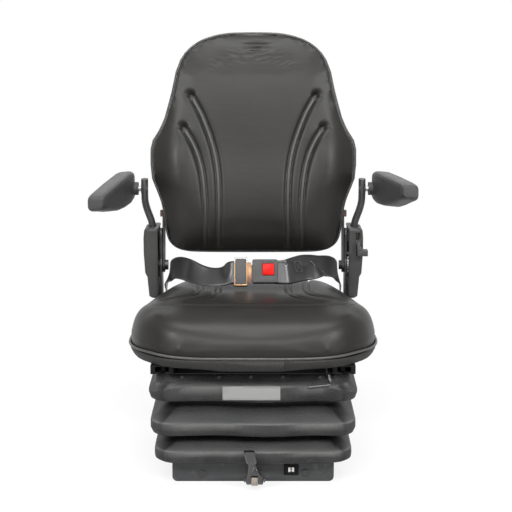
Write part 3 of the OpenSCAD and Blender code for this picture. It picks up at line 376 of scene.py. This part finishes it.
# Bellows. One rubber moulding of three folds between the tray and the upper frame, with a coarse
# leather grain. The folds are never quite straight, and a smooth bare patch shows on the top one.
# Shade is painted near black in the valleys and a highlight is painted along each ridge. The
# upward-facing outer slopes are painted lighter, partly for dust and partly as light from above.
def woven_grid(rows, closed_round=False):
    """A grid laid over rows of points, which may close round each row."""
    bm = bmesh.new()
    n, m = len(rows) - 1, len(rows[0]) - 1
    bmesh.ops.create_grid(bm, x_segments=n, y_segments=m, size=1, calc_uvs=True)
    uv = bm.loops.layers.uv.verify()
    for v in bm.verts:
        i, j = round((v.co.x + 1) / 2 * n), round((v.co.y + 1) / 2 * m)
        for loop in v.link_loops:
            loop[uv].uv = (i / n, j / m)
        v.co = rows[i][j]
    if closed_round:
        bmesh.ops.remove_doubles(bm, verts=bm.verts, dist=1e-6)
    bmesh.ops.recalc_face_normals(bm, faces=bm.faces)
    return bm


def ring(hx, hy, r, z, middle, wave, seed, droop, corner=12, side=24):
    """Points round a rounded rectangle that waves up and down, and droops towards its corners."""
    points = []
    for q, (sx, sy) in enumerate(((1, 1), (-1, 1), (-1, -1), (1, -1))):
        for i in range(corner + 1):
            a = math.radians(90 * q + 90 * i / corner)
            points.append((sx * (hx - r) + r * math.cos(a), sy * (hy - r) + r * math.sin(a)))
        nx, ny = ((-1, 1), (-1, -1), (1, -1), (1, 1))[q]
        start = points[-1]
        a = math.radians(90 * (q + 1))
        end = (nx * (hx - r) + r * math.cos(a), ny * (hy - r) + r * math.sin(a))
        for i in range(1, side):
            t = i / side
            points.append((start[0] + (end[0] - start[0]) * t, start[1] + (end[1] - start[1]) * t))
    points.append(points[0])
    placed = []
    for x, y in points:
        bend = noise.noise(Vector((x * 9, y * 9, seed)))
        outer = min(1.0, max(0.0, (abs(x) - 0.12) / 0.07))
        placed.append((x, y + middle, z + wave * bend - droop * outer * outer))
    return placed


bellows_middle = 0.008
corner_droop = 0.014
drooping_ridge = 0.204
droop_reach = 0.018
waviness = 0.003
# height, half width, half depth and corner radius of each turn of the wall, and whether it waves
bellows_profile = [
    (0.038, 0.1608, 0.1448, 0.010, 0), (0.046, 0.1608, 0.1448, 0.010, 0), (0.0485, 0.172, 0.164, 0.03, 1),
    (0.0505, 0.186, 0.179, 0.044, 1), (0.0545, 0.1912, 0.1838, 0.046, 1), (0.0625, 0.192, 0.1845, 0.046, 1),
    (0.0722, 0.1915, 0.184, 0.046, 1), (0.0745, 0.1905, 0.183, 0.046, 1), (0.0762, 0.187, 0.179, 0.044, 1),
    (0.084, 0.176, 0.167, 0.04, 1), (0.0955, 0.162, 0.150, 0.034, 1), (0.0985, 0.1575, 0.145, 0.032, 1),
    (0.1015, 0.162, 0.150, 0.034, 1), (0.1035, 0.184, 0.172, 0.042, 1), (0.1065, 0.1955, 0.1835, 0.046, 1),
    (0.116, 0.199, 0.1865, 0.046, 1), (0.1295, 0.1988, 0.1865, 0.046, 1), (0.132, 0.198, 0.1855, 0.046, 1),
    (0.134, 0.195, 0.182, 0.045, 1), (0.143, 0.183, 0.169, 0.041, 1), (0.158, 0.165, 0.151, 0.034, 1),
    (0.1625, 0.1605, 0.1465, 0.032, 1), (0.1665, 0.166, 0.150, 0.034, 1), (0.1695, 0.187, 0.166, 0.041, 1),
    (0.1735, 0.199, 0.1765, 0.046, 1), (0.184, 0.202, 0.1785, 0.046, 1), (0.2, 0.2018, 0.1783, 0.046, 1),
    (0.2038, 0.2008, 0.177, 0.046, 1), (0.2055, 0.198, 0.1735, 0.044, 1), (0.21, 0.191, 0.165, 0.035, 1),
    (0.2125, 0.1875, 0.1605, 0.022, 0), (0.222, 0.1872, 0.1602, 0.020, 0)]
bellows_rings = []
for z, hx, hy, r, free in bellows_profile:
    droop = corner_droop * max(0.0, 1 - abs(z - drooping_ridge) / droop_reach)
    bellows_rings.append(ring(hx, hy, r, z, bellows_middle, waviness * free, 2.0 * z, droop))
ridges = (0.0734, 0.1308, 0.2022)
ridge_width = 0.0016
rubber_finish = Finish("bellows_rubber", (0.03, 0.031, 0.03), 0.55, Specular_IOR_Level=0.22)
leather = rubber_finish.cells(330)
pores = rubber_finish.grain(650, 3)
mottle = rubber_finish.grain(18, 4, 0.6)
across_x, along_y, up_z = (rubber_finish.along(axis) for axis in "XYZ")
bare = (across_x.above(-0.058, 0.0006) * (1 - across_x.above(0.052, 0.0006))
        * up_z.above(0.1765, 0.0006) * (1 - up_z.above(0.2035, 0.0006))
        * (1 - along_y.above(-0.16, 0.001)))
rubber_finish.painted(mottle.above(0.5, 0.25), (0.014, 0.0145, 0.014), (0.028, 0.029, 0.028))
# lighter on the upward-facing outer slopes: partly grained dust, partly painted light from above
rubber_finish.over(rubber_finish.painted_on("dust_and_top_light") * (0.5 + 0.5 * pores), (0.06, 0.062, 0.06))
rubber_finish.over(bare * 0.85, (0.22, 0.222, 0.215))
# painted highlight: a light line along each fold's ridge
rubber_finish.over(rubber_finish.painted_on("ridge_highlight") * 0.6, (0.13, 0.132, 0.128))
# painted shade: the valleys between the folds are painted near black
rubber_finish.over(rubber_finish.painted_on("valley_shade"), (0.004, 0.004, 0.004))
rubber_finish.rough(0.5 + 0.22 * mottle - 0.15 * bare)
rubber_finish.raised((leather + 0.4 * pores) * (1 - bare), 0.0009)
bellows_bm = woven_grid(bellows_rings, closed_round=True)
ridge_highlight = bellows_bm.verts.layers.float.new("ridge_highlight")
dust_and_top_light = bellows_bm.verts.layers.float.new("dust_and_top_light")
valley_shade = bellows_bm.verts.layers.float.new("valley_shade")
bellows_bm.normal_update()
for v in bellows_bm.verts:
    across_share, depth_share = abs(v.co.x) / 0.198, abs(v.co.y - bellows_middle) / 0.184
    out = across_share if abs(v.co.x) > abs(v.co.y) else depth_share
    # how far a vertex on the outer faces looks up: dust there, and painted light from above
    v[dust_and_top_light] = min(1.0, max(0.0, (v.normal.z - 0.35) / 0.3)) * min(1.0, max(0.0, (out - 0.84) / 0.1))
    # painted highlight along the ridges
    v[ridge_highlight] = sum(math.exp(-(((v.co.z - ridge) / ridge_width) ** 2)) for ridge in ridges)
    # painted shade, strongest where the wall lies well in from its outer faces
    v[valley_shade] = min(1.0, max(0.0, (0.93 - out) / 0.12)) if 0.05 < v.co.z < 0.2 else 0.0
bellows = piece("bellows_rubber", bellows_bm, rubber_finish, None, ("bellows",), 0)
bellows_wall = bellows.modifiers.new("wall", "SOLIDIFY")
bellows_wall.thickness = 0.0025
bellows_wall.offset = -1
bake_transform(bellows)
coated(shell_finish, "bellows_clips")


# Upper frame and slide rails. Black painted sheet on the bellows, two pairs of rails with capped
# ends in which the seat slides on nylon glides, and a bent rod that unlocks them.
coated(black_paint, "upper_frame_plate", "seat_pan")
coated(nylon, "rail_glides")
softened("upper_rails", pitch_finish, 0.0008, "seat")
softened("rail_end_caps", pitch_finish, 0.0008, "seat")
softened("lower_rails", pitch_finish, 0.0006, "upper_frame")
rod_finish = Finish("lever_enamel", (0.006, 0.006, 0.006), 0.3, Specular_IOR_Level=0.5, Coat_Weight=0.3)
softened("slide_lever", rod_finish, 0.001, "slide_lever", 50, 2)


# Seat cushion. Foam with a high front roll, under black leathercloth with a fine grain and faint
# stretch creases. The cover is sewn down along two channels a side and one line across.
def relax(bm, rounds, verts=None):
    """Draws each vertex towards its neighbours, so many times."""
    for _ in range(rounds):
        bmesh.ops.smooth_vert(bm, verts=verts or bm.verts, factor=0.5,
                              use_axis_x=True, use_axis_y=True, use_axis_z=True)


def inflated(bm, cell, smoothing, sewn, rounding, pressure, cap):
    """Foam under a stretched cover. The form is remeshed and smoothed, gets back the broad part of
    what the smoothing took from it, and is rounded where the cover isn't sewn down. There it then
    swells under pressure by no more than cap."""
    mesh = bpy.data.meshes.new("foam")
    bm.to_mesh(mesh)
    bm.free()
    foam = bpy.data.objects.new("foam", mesh)
    scene.collection.objects.link(foam)
    remesh = foam.modifiers.new("remesh", "REMESH")
    remesh.mode = "VOXEL"
    remesh.voxel_size = cell
    depsgraph = bpy.context.evaluated_depsgraph_get()
    dense = bpy.data.meshes.new_from_object(foam.evaluated_get(depsgraph))
    foam.modifiers.clear()
    foam.data = dense
    bm = bmesh.new()
    bm.from_mesh(dense)
    relax(bm, smoothing)
    lost = bm.copy()
    for v, was in zip(lost.verts, dense.vertices):
        v.co = was.co - v.co
    relax(lost, smoothing)
    for v, back in zip(bm.verts, lost.verts):
        v.co += back.co
    lost.free()
    bm.normal_update()
    loose = [v for v in bm.verts if not sewn(v)]
    relax(bm, rounding, loose)
    held = [v.index for v in bm.verts if sewn(v)]
    bm.to_mesh(dense)
    foam.vertex_groups.new(name="sewn").add(held, 1.0, "REPLACE")
    cloth = foam.modifiers.new("cloth", "CLOTH")
    cloth.settings.vertex_group_mass = "sewn"
    cloth.settings.use_pressure = True
    cloth.settings.uniform_pressure_force = pressure
    cloth.settings.quality = 5
    cloth.settings.tension_stiffness = 25
    cloth.settings.bending_stiffness = 4
    cloth.settings.effector_weights.gravity = 0
    cloth.collision_settings.use_collision = False
    for step in range(1, 17):
        scene.frame_set(step)
    depsgraph = bpy.context.evaluated_depsgraph_get()
    swollen = bpy.data.meshes.new_from_object(foam.evaluated_get(depsgraph))
    scene.frame_set(1)
    moved = bm.copy()
    for v, there in zip(moved.verts, swollen.vertices):
        v.co = there.co - v.co
    relax(moved, 20)
    for v, way in zip(bm.verts, moved.verts):
        v.co += way.co * (cap * math.tanh(way.co.length / cap) / max(way.co.length, 1e-9))
    moved.free()
    bpy.data.objects.remove(foam)
    return bm


def from_line(x, y, line):
    """Distance of a point from a flat line of points, and how far along the line it is, 0 to 1."""
    best, where = 9.0, 0.0
    for i, ((ax, ay), (bx, by)) in enumerate(zip(line, line[1:])):
        dx, dy = bx - ax, by - ay
        t = max(0.0, min(1.0, ((x - ax) * dx + (y - ay) * dy) / (dx * dx + dy * dy)))
        d = math.hypot(x - ax - t * dx, y - ay - t * dy)
        if d < best:
            best, where = d, (i + t) / (len(line) - 1)
    return best, where


def refined(bm, lines, flat, reach=0.02):
    """Finer faces everywhere, and finer again along the seam lines, which are drawn on two axes."""
    bmesh.ops.subdivide_edges(bm, edges=bm.edges, cuts=1, use_grid_fill=True, smooth=0.0)
    relax(bm, 1)
    for v in bm.verts:
        first, second = abs(v.co[flat[0]]), v.co[flat[1]]
        v.tag = any(from_line(first, second, line)[0] < reach for line in lines) and facing(v, flat)
    near = [e for e in bm.edges if e.verts[0].tag and e.verts[1].tag]
    bmesh.ops.subdivide_edges(bm, edges=near, cuts=1, use_grid_fill=True, smooth=0.0)
    bm.normal_update()
    return bm


def facing(v, flat):
    """True on the side of a cushion that its seam lines are drawn on: the front or the top."""
    return v.normal.y < 0.15 if flat[1] == 2 else v.normal.z > 0.2


def channel(d, half, deep, bead):
    """Depth of a sewn channel at distance d from its line, with a raised bead in its middle."""
    if d > half * 2:
        return 0.0
    hollow = math.exp(-((d / half) ** 2) * 1.6)
    return deep * hollow - bead * math.exp(-((d / (half * 0.4)) ** 4))


def spline(points, steps):
    """A smooth line through points, with that many steps from one to the next."""
    line = []
    for i in range(len(points) - 1):
        a, b = points[max(i - 1, 0)], points[i]
        c, d = points[i + 1], points[min(i + 2, len(points) - 1)]
        for k in range(steps):
            t = k / steps
            line.append(tuple(0.5 * (2 * q + (r - p) * t + (2 * p - 5 * q + 4 * r - s) * t * t
                                     + (3 * q - p - 3 * r + s) * t ** 3) for p, q, r, s in zip(a, b, c, d)))
    line.append(tuple(points[-1]))
    return line


vinyl_finish = Finish("black_vinyl", (0.01, 0.0095, 0.009), 0.36, Specular_IOR_Level=0.22)
grain = vinyl_finish.cells(900)
fine = vinyl_finish.grain(420, 3)
creases = vinyl_finish.grain(60, 3, 0.55, (0.3, 1, 1.6))
dust = vinyl_finish.grain(7, 4)
# The vinyl is painted lighter where dust lies at random, and along the beads of the backrest's channels as a
# painted highlight.
bead = vinyl_finish.painted_on("bead")
vinyl_finish.painted(dust.above(0.55, 0.2) * 0.05 + bead * (0.6 + 0.6 * fine),
                     (0.009, 0.0084, 0.0077), (0.06, 0.06, 0.057))
vinyl_finish.rough(0.34 + 0.06 * fine + 0.05 * dust)
vinyl_finish.raised(creases, 0.00022)
vinyl_finish.raised(fine + 0.7 * grain, 0.00006)
channel_half = 0.009
channel_deep = 0.0095
channel_bead = 0.0085
seat_inner = [(0.075, 0.23), (0.073, 0.1), (0.072, 0.05), (0.078, 0.0), (0.09, -0.03), (0.112, -0.062),
              (0.142, -0.09)]
seat_outer = [(0.113, 0.23), (0.111, 0.1), (0.109, 0.05), (0.122, 0.0), (0.15, -0.03), (0.18, -0.055)]
roll_line = [(0.0, -0.108), (0.09, -0.108), (0.15, -0.1), (0.185, -0.08), (0.2, -0.045), (0.2, 0.02)]

seat_in_line = spline(seat_inner, 4)
seat_out_line = spline(seat_outer, 4)
roll_spline = spline(roll_line, 4)


def seat_sewn(v):
    return v.co.z < 0.285 or v.normal.z < -0.2


seat_bm = refined(inflated(solid_copy("cushion"), 0.006, 12, seat_sewn, 60, 2.5, 0.004),
                  (seat_in_line, seat_out_line), (0, 1))
for v in seat_bm.verts:
    if not facing(v, (0, 1)):
        continue
    x, y = abs(v.co.x), v.co.y
    push = 0.0
    for line in (seat_in_line, seat_out_line):
        d, along = from_line(x, y, line)
        if d < channel_half * 2.2:
            share = min(1.0, (1.0 - along) * 3)
            push = max(push, channel(d, channel_half, channel_deep * 0.8 * share, channel_bead * share))
    d, along = from_line(x, y, roll_spline)
    if d < 0.02:
        push = max(push, 0.0034 * math.exp(-((d / 0.006) ** 2)) * (1 - 0.6 * along))
    v.co -= v.normal * push
seat = piece("seat_cover", seat_bm, vinyl_finish, "seat", ("cushion",), 0)


# Welts. Ribbed vinyl piping, sewn into the lower seam of the seat cover and round the front of
# the backrest.
def welt(node, name, body, levels):
    """The CAD piping, rounder."""
    made = piece(name, solid_copy(node), welt_finish, body, (node,), 0)
    smooth = made.modifiers.new("smooth", "SUBSURF")
    smooth.levels = smooth.render_levels = levels


welt_finish = Finish("welt_vinyl", (0.035, 0.034, 0.032), 0.38)
ticks = welt_finish.cells(700)
welt_finish.raised(ticks, 0.0005)
welt_finish.painted(ticks.above(0.4, 0.3), (0.045, 0.044, 0.042), (0.022, 0.021, 0.02))
welt("cushion_trim", "seat_welt", "seat", 2)
welt("backrest_piping", "backrest_welt", "backrest", 2)


# Hem of the seat cover. The cover is pulled down under the welt as a ribbed brown-black band and
# stapled below the pan.
hem_finish = Finish("hem_cloth", (0.016, 0.013, 0.011), 0.7)
hem_ribs = hem_finish.grain(900, 2, 0.5, (1, 1, 0.12))
hem_finish.raised(hem_ribs, 0.0008)
hem_finish.painted(hem_ribs.above(0.5, 0.15), (0.003, 0.0025, 0.002), (0.01, 0.0085, 0.0075))
hem_top, hem_bottom = 0.2655, 0.2492
pulled_down = 0.252
flap_drop, flap_half = 0.005, 0.1
hem_bm = solid_copy("cushion")
for level, upwards in ((hem_top, True), (hem_bottom, False)):
    bmesh.ops.bisect_plane(hem_bm, geom=hem_bm.verts[:] + hem_bm.edges[:] + hem_bm.faces[:],
                           plane_co=(0, 0, level), plane_no=(0, 0, 1),
                           clear_outer=upwards, clear_inner=not upwards)
for v in hem_bm.verts:
    away = Vector((v.co.x, v.co.y * 1.15, 0)).normalized()
    v.co += away * (0.0035 if v.co.z > pulled_down else 0.001)
    if v.co.z < pulled_down and v.co.y < -0.15:
        v.co.z -= flap_drop * max(0.0, 1 - abs(v.co.x / flap_half) ** 6)
hem = piece("seat_hem", hem_bm, hem_finish, "seat", (), 60)
hem_wall = hem.modifiers.new("wall", "SOLIDIFY")
hem_wall.thickness = 0.0015
hem_wall.offset = 0


# Hinge brackets and recliner. Black painted plates bolted to the seat pan, with a blackened gate
# and a drawn steel sector that lock the back.
softened("hinge_bracket_left", black_paint, 0.0006, "seat")
softened("hinge_bracket_right", black_paint, 0.0006, "seat")
coated(dull, "recliner_gate", "bracket_bolts", "pivot_bolts")
coated(steel, "recliner_sector")


# Side covers and armrest posts. Dark grey moulded covers with a fine grain over the hinges, the
# recline lever in the right one, and a bent post that rises from each.
cover_finish = Finish("cover_plastic", (0.03, 0.031, 0.031), 0.5, Specular_IOR_Level=0.3)
cover_grain = cover_finish.cells(1300)
cover_cloud = cover_finish.grain(14, 3)
cover_finish.painted(cover_cloud.above(0.5, 0.3), (0.023, 0.0233, 0.0226), (0.032, 0.0323, 0.0315))
cover_finish.raised(cover_grain, 0.00008)
cover_finish.rough(0.44 + 0.14 * cover_cloud)
softened("side_cover_left", cover_finish, 0.0022, "seat", 26, 3)
softened("side_cover_right", cover_finish, 0.0022, "seat", 26, 3)
softened("recline_lever", shell_finish, 0.0012, "recline_lever", 30, 3)
softened("armrest_posts", cover_finish, 0.0015, "seat", 40, 2)
coated(steel, "armrest_pins")


# Armrest pads. Integral skin foam on a steel pin, oval in section, wider and deeper at the rear,
# with a blunt front.
pad_finish = Finish("pad_foam", (0.024, 0.024, 0.025), 0.5, Specular_IOR_Level=0.4)
pad_finish.raised(pad_finish.cells(900), 0.0004)
pad_finish.rough(0.46 + 0.14 * pad_finish.grain(30, 3))
for side in ("left", "right"):
    made = softened("armrest_" + side, pad_finish, 0.004, "armrest_" + side, 24, 3)


# Lap belt. Woven polyester webbing, 48 mm wide, with lengthwise ribs, heavier selvedges and a soft
# sheen. The buckle's side is folded back through its slot and sewn with a cross.
webbing = Finish("webbing", (0.012, 0.012, 0.012), 0.5, Sheen_Weight=0.15, Sheen_Roughness=0.4)
run, across = webbing.mapped()
bands = {"wave_type": "BANDS", "bands_direction": "X"}
slanting = webbing.node("ShaderNodeCombineXYZ", None, {0: across * 14 + run * 24}).outputs[0]
twill = webbing.node("ShaderNodeTexWave", bands, {"Vector": slanting, "Scale": 1.0, "Distortion": 0.0})
straight = webbing.node("ShaderNodeCombineXYZ", None, {0: across}).outputs[0]
ribs = webbing.node("ShaderNodeTexWave", bands, {"Vector": straight, "Scale": 1.6})
stripes = Value(webbing, ribs.outputs["Fac"])
weave = Value(webbing, twill.outputs["Fac"])
webbing.painted(stripes * 0.7 + 0.3 * weave, (0.007, 0.007, 0.0072), (0.024, 0.024, 0.0245))
webbing.rough(0.34 + 0.16 * stripes)
webbing.raised(weave, 0.0004)
webbing.raised(stripes, 0.0004)
web_width = 0.048


def strap(name, path, sides, body, replaced=(), width=web_width, steps=6, thick=0.0016):
    """A flat webbing along a route. sides give the direction across it at each point."""
    line = [Vector(p) / 1000 for p in spline(path, steps)]
    across = [Vector(p) for p in spline(sides, steps)]
    rows = []
    for i, point in enumerate(line):
        run = (line[min(i + 1, len(line) - 1)] - line[max(i - 1, 0)]).normalized()
        flat = run.cross(across[i]).normalized()
        side = flat.cross(run)
        rows.append([point + side * (width * (k / 10 - 0.5)) for k in range(11)])
    made = piece(name, woven_grid(rows), webbing, body, replaced, 0)
    wall = made.modifiers.new("wall", "SOLIDIFY")
    wall.thickness = thick
    wall.offset = 0


left_route = [(-188, 192, 272), (-188, 192, 290), (-187, 191, 315), (-184, 187, 338), (-176, 175, 356),
              (-162, 152, 368), (-142, 122, 371), (-118, 99, 366), (-90, 84, 363), (-66, 75, 366),
              (-48, 66, 374.5), (-36, 64.42, 376.4)]
left_sides = [(0, 1, 0), (0, 1, 0), (0, 0.99, 0.13), (0.25, 0.87, 0.43), (0.02, 0.5, 0.87),
              (0.05, 0.55, 0.83), (0.08, 0.65, 0.75), (0.05, 0.75, 0.65), (0, 0.8, 0.6), (0, 0.75, 0.65),
              (0, 0.4, 0.9), (0, 0.342, 0.94)]
right_route = [(188, 192, 272), (188, 192, 290), (187, 191, 315), (184, 186, 338), (177, 170, 358),
               (164, 144, 372), (144, 118, 379), (124, 103, 383), (104, 91, 384), (86, 78, 382),
               (70, 64, 379.5), (58, 61, 378), (43.8, 61, 378)]
right_sides = [(0, -1, 0), (0, -1, 0), (0, -0.99, -0.13), (0.15, -0.84, -0.52), (0, -0.52, -0.85),
               (0.05, -0.6, -0.8), (0.1, -0.65, -0.75), (0.08, -0.55, -0.83), (0.05, -0.4, -0.92),
               (0, -0.36, -0.93), (0, -0.342, -0.94), (0, -0.342, -0.94), (0, -0.342, -0.94)]
strap("lap_belt_left", left_route, left_sides, "seat", ("belt_left",))
strap("lap_belt_right", right_route, right_sides, "seat", ("belt_right",))
# the tail that comes back through the buckle's slot: it lies over the belt and curls at its end
tail_width = 0.045
tail_route = [(45, 58.2, 376), (58, 57.8, 375.5), (72, 60, 375), (88, 73, 376), (106, 86, 376),
              (121, 94, 376), (131, 100, 377.5), (134, 105, 379.5)]
tail_sides = [(0, -0.342, -0.94), (0, -0.342, -0.94), (0, -0.4, -0.92), (0, -0.5, -0.87), (0, -0.6, -0.8),
              (0.05, -0.65, -0.75), (0.1, -0.7, -0.7), (0.2, -0.7, -0.7)]
strap("lap_belt_tail", tail_route, tail_sides, "seat", (), tail_width)
# and the box with a cross that sews the two together
thread_finish = Finish("thread", (0.05, 0.05, 0.05), 0.5)
seam_right, seam_up = Vector((0.82, 0.57, 0.02)), Vector((-0.2, 0.3, 0.93))
seam_middle = Vector((0.0935, 0.0755, 0.3865))
corners = [(-8, -11), (8, -11), (8, 11), (-8, 11)]
stitch_pitch = 2.6
thread_bm = bmesh.new()
for a, b in ((0, 1), (1, 2), (2, 3), (3, 0), (0, 2), (1, 3)):
    start, end = Vector(corners[a]), Vector(corners[b])
    count = round((end - start).length / stitch_pitch)
    for k in range(count):
        here = start.lerp(end, (k + 0.5) / count) / 1000
        run = (end - start).normalized()
        place = seam_middle + seam_right * here.x + seam_up * here.y
        lie = (seam_right * run.x + seam_up * run.y).to_track_quat("X", "Z").to_matrix().to_4x4()
        stitch = bmesh.ops.create_cube(thread_bm, size=1)["verts"]
        bmesh.ops.scale(thread_bm, verts=stitch, vec=(0.0019, 0.0007, 0.0007))
        bmesh.ops.transform(thread_bm, verts=stitch, matrix=lie)
        bmesh.ops.translate(thread_bm, verts=stitch, vec=place)
piece("belt_stitching", thread_bm, thread_finish, "seat", (), 0)


# Tongue, buckle and button. A yellow zinc plated frame and tongue, the buckle's grained black
# housing and its red button. The tongue's top is painted silver as a highlight.
silver_highlight_above = 0.399
zinc = metal("yellow_zinc", (0.17, 0.13, 0.05), 0.26, (0.2, 0.1, 0.08))
# painted highlight: the tongue is painted silver above this height
zinc.over(zinc.along("Z").above(silver_highlight_above, 0.001), (0.2, 0.2, 0.195))
coated(dull, "belt_anchors")
softened("belt_tongue", zinc, 0.0008, "seat")
softened("tongue_cover", shell_finish, 0.0008, "seat")
softened("buckle_housing", shell_finish, 0.0016, "seat", 32, 3)
button_finish = Finish("red_plastic", (0.45, 0.006, 0.003), 0.3, Specular_IOR_Level=0.12)
button_finish.rough(0.26 + 0.12 * button_finish.grain(60, 3))
button_finish.raised(button_finish.grain(900, 2), 0.00005)
softened("red_button", button_finish, 0.0014, "red_button", 32, 3)


# Backrest arms and shell. Black painted hinge arms bolted to one black moulding with rolled edges,
# which holds the foam.
softened("back_arm_left", black_paint, 0.0007, "backrest")
softened("back_arm_right", black_paint, 0.0007, "backrest")
coated(metal("bolt_zinc", (0.2, 0.12, 0.09), 0.3, (0.1, 0.07, 0.06)), "back_bolts")
softened("backrest_shell", shell_finish, 0.004, "backrest", 38, 3)


# Backrest cushion. Moulded foam under the same vinyl, with two bolsters and two sewn channels a
# side that run up from the bottom edge and end in a small pit. The foam swells between them.
# A highlight is painted along the channels' beads.
back_inner = [(0.0734, 0.385), (0.0727, 0.503), (0.075, 0.567), (0.083, 0.615), (0.096, 0.656),
              (0.112, 0.694), (0.131, 0.726)]
back_outer = [(0.103, 0.385), (0.1009, 0.471), (0.1025, 0.519), (0.1074, 0.567), (0.117, 0.605),
              (0.1316, 0.637), (0.146, 0.659)]
pit_radius, pit_deep = 0.008, 0.011
bolster_x, bolster_z, bolster_swell = 0.16, 0.6, 0.009
fold_line = [(0.0, 0.833), (0.045, 0.832)]
# height of its middle, half width, half height and depth of each ripple
top_folds = ((0.8315, 0.02, 0.0042, -0.0022), (0.8385, 0.024, 0.003, 0.0014), (0.8245, 0.022, 0.004, 0.0014),
             (0.8195, 0.016, 0.0025, -0.0006))

inner_line = spline(back_inner, 4)
outer_line = spline(back_outer, 4)


def back_sewn(v):
    return v.normal.y > -0.3


back_bm = refined(inflated(solid_copy("backrest_cushion"), 0.0055, 10, back_sewn, 90, 2.5, 0.004),
                  (inner_line, outer_line, fold_line), (0, 2))
bead_highlight = back_bm.verts.layers.float.new("bead")
for v in back_bm.verts:
    if not facing(v, (0, 2)):
        continue
    x, z = abs(v.co.x), v.co.z
    push = 0.0
    lowest = min(1.0, max(0.0, (z - 0.404) / 0.012))
    for line, low_end in ((inner_line, 0.55), (outer_line, 0.35)):
        d, along = from_line(x, z, line)
        if d < channel_half * 2.2:
            share = (low_end + (1 - low_end) * min(1.0, along * 1.4)) * lowest
            push = max(push, channel(d, channel_half, channel_deep * share, channel_bead * share))
            # painted highlight along the bead, fading towards the bottom
            fade = min(1.0, max(0.3, (z - 0.4) / 0.16))
            v[bead_highlight] = max(v[bead_highlight], fade * share * math.exp(-((d / (channel_half * 0.36)) ** 4)))
        end = math.hypot(x - line[-1][0] - 0.0015, z - line[-1][1] - 0.003)
        if end < pit_radius * 2:
            push = max(push, pit_deep * math.exp(-((end / pit_radius) ** 2)))
    push -= bolster_swell * math.exp(-(((x - bolster_x) / 0.036) ** 2) - ((z - bolster_z) / 0.095) ** 2)
    # the cover is loose at the top: one fold between two dips, and fine creases in an arc below it
    for middle, half_width, high, height in top_folds:
        here = math.exp(-(((v.co.x - 0.007) / half_width) ** 2))
        push += height * here * math.exp(-(((z - middle) / high) ** 2))
    arc = math.exp(-(((z - 0.812 + 3.0 * v.co.x ** 2) / 0.013) ** 2)) * max(0.0, 1 - (v.co.x / 0.125) ** 2)
    wave = noise.noise(Vector((v.co.x * 60, 3.0, z * 200 - abs(v.co.x) * 50)))
    push += 0.0014 * arc * wave
    v.co -= v.normal * push
for v in back_bm.verts:
    v.co.z -= 0.003 * min(1.0, max(0.0, (0.425 - v.co.z) / 0.015))
backrest = piece("backrest_cover", back_bm, vinyl_finish, "backrest", ("backrest_cushion",), 0)
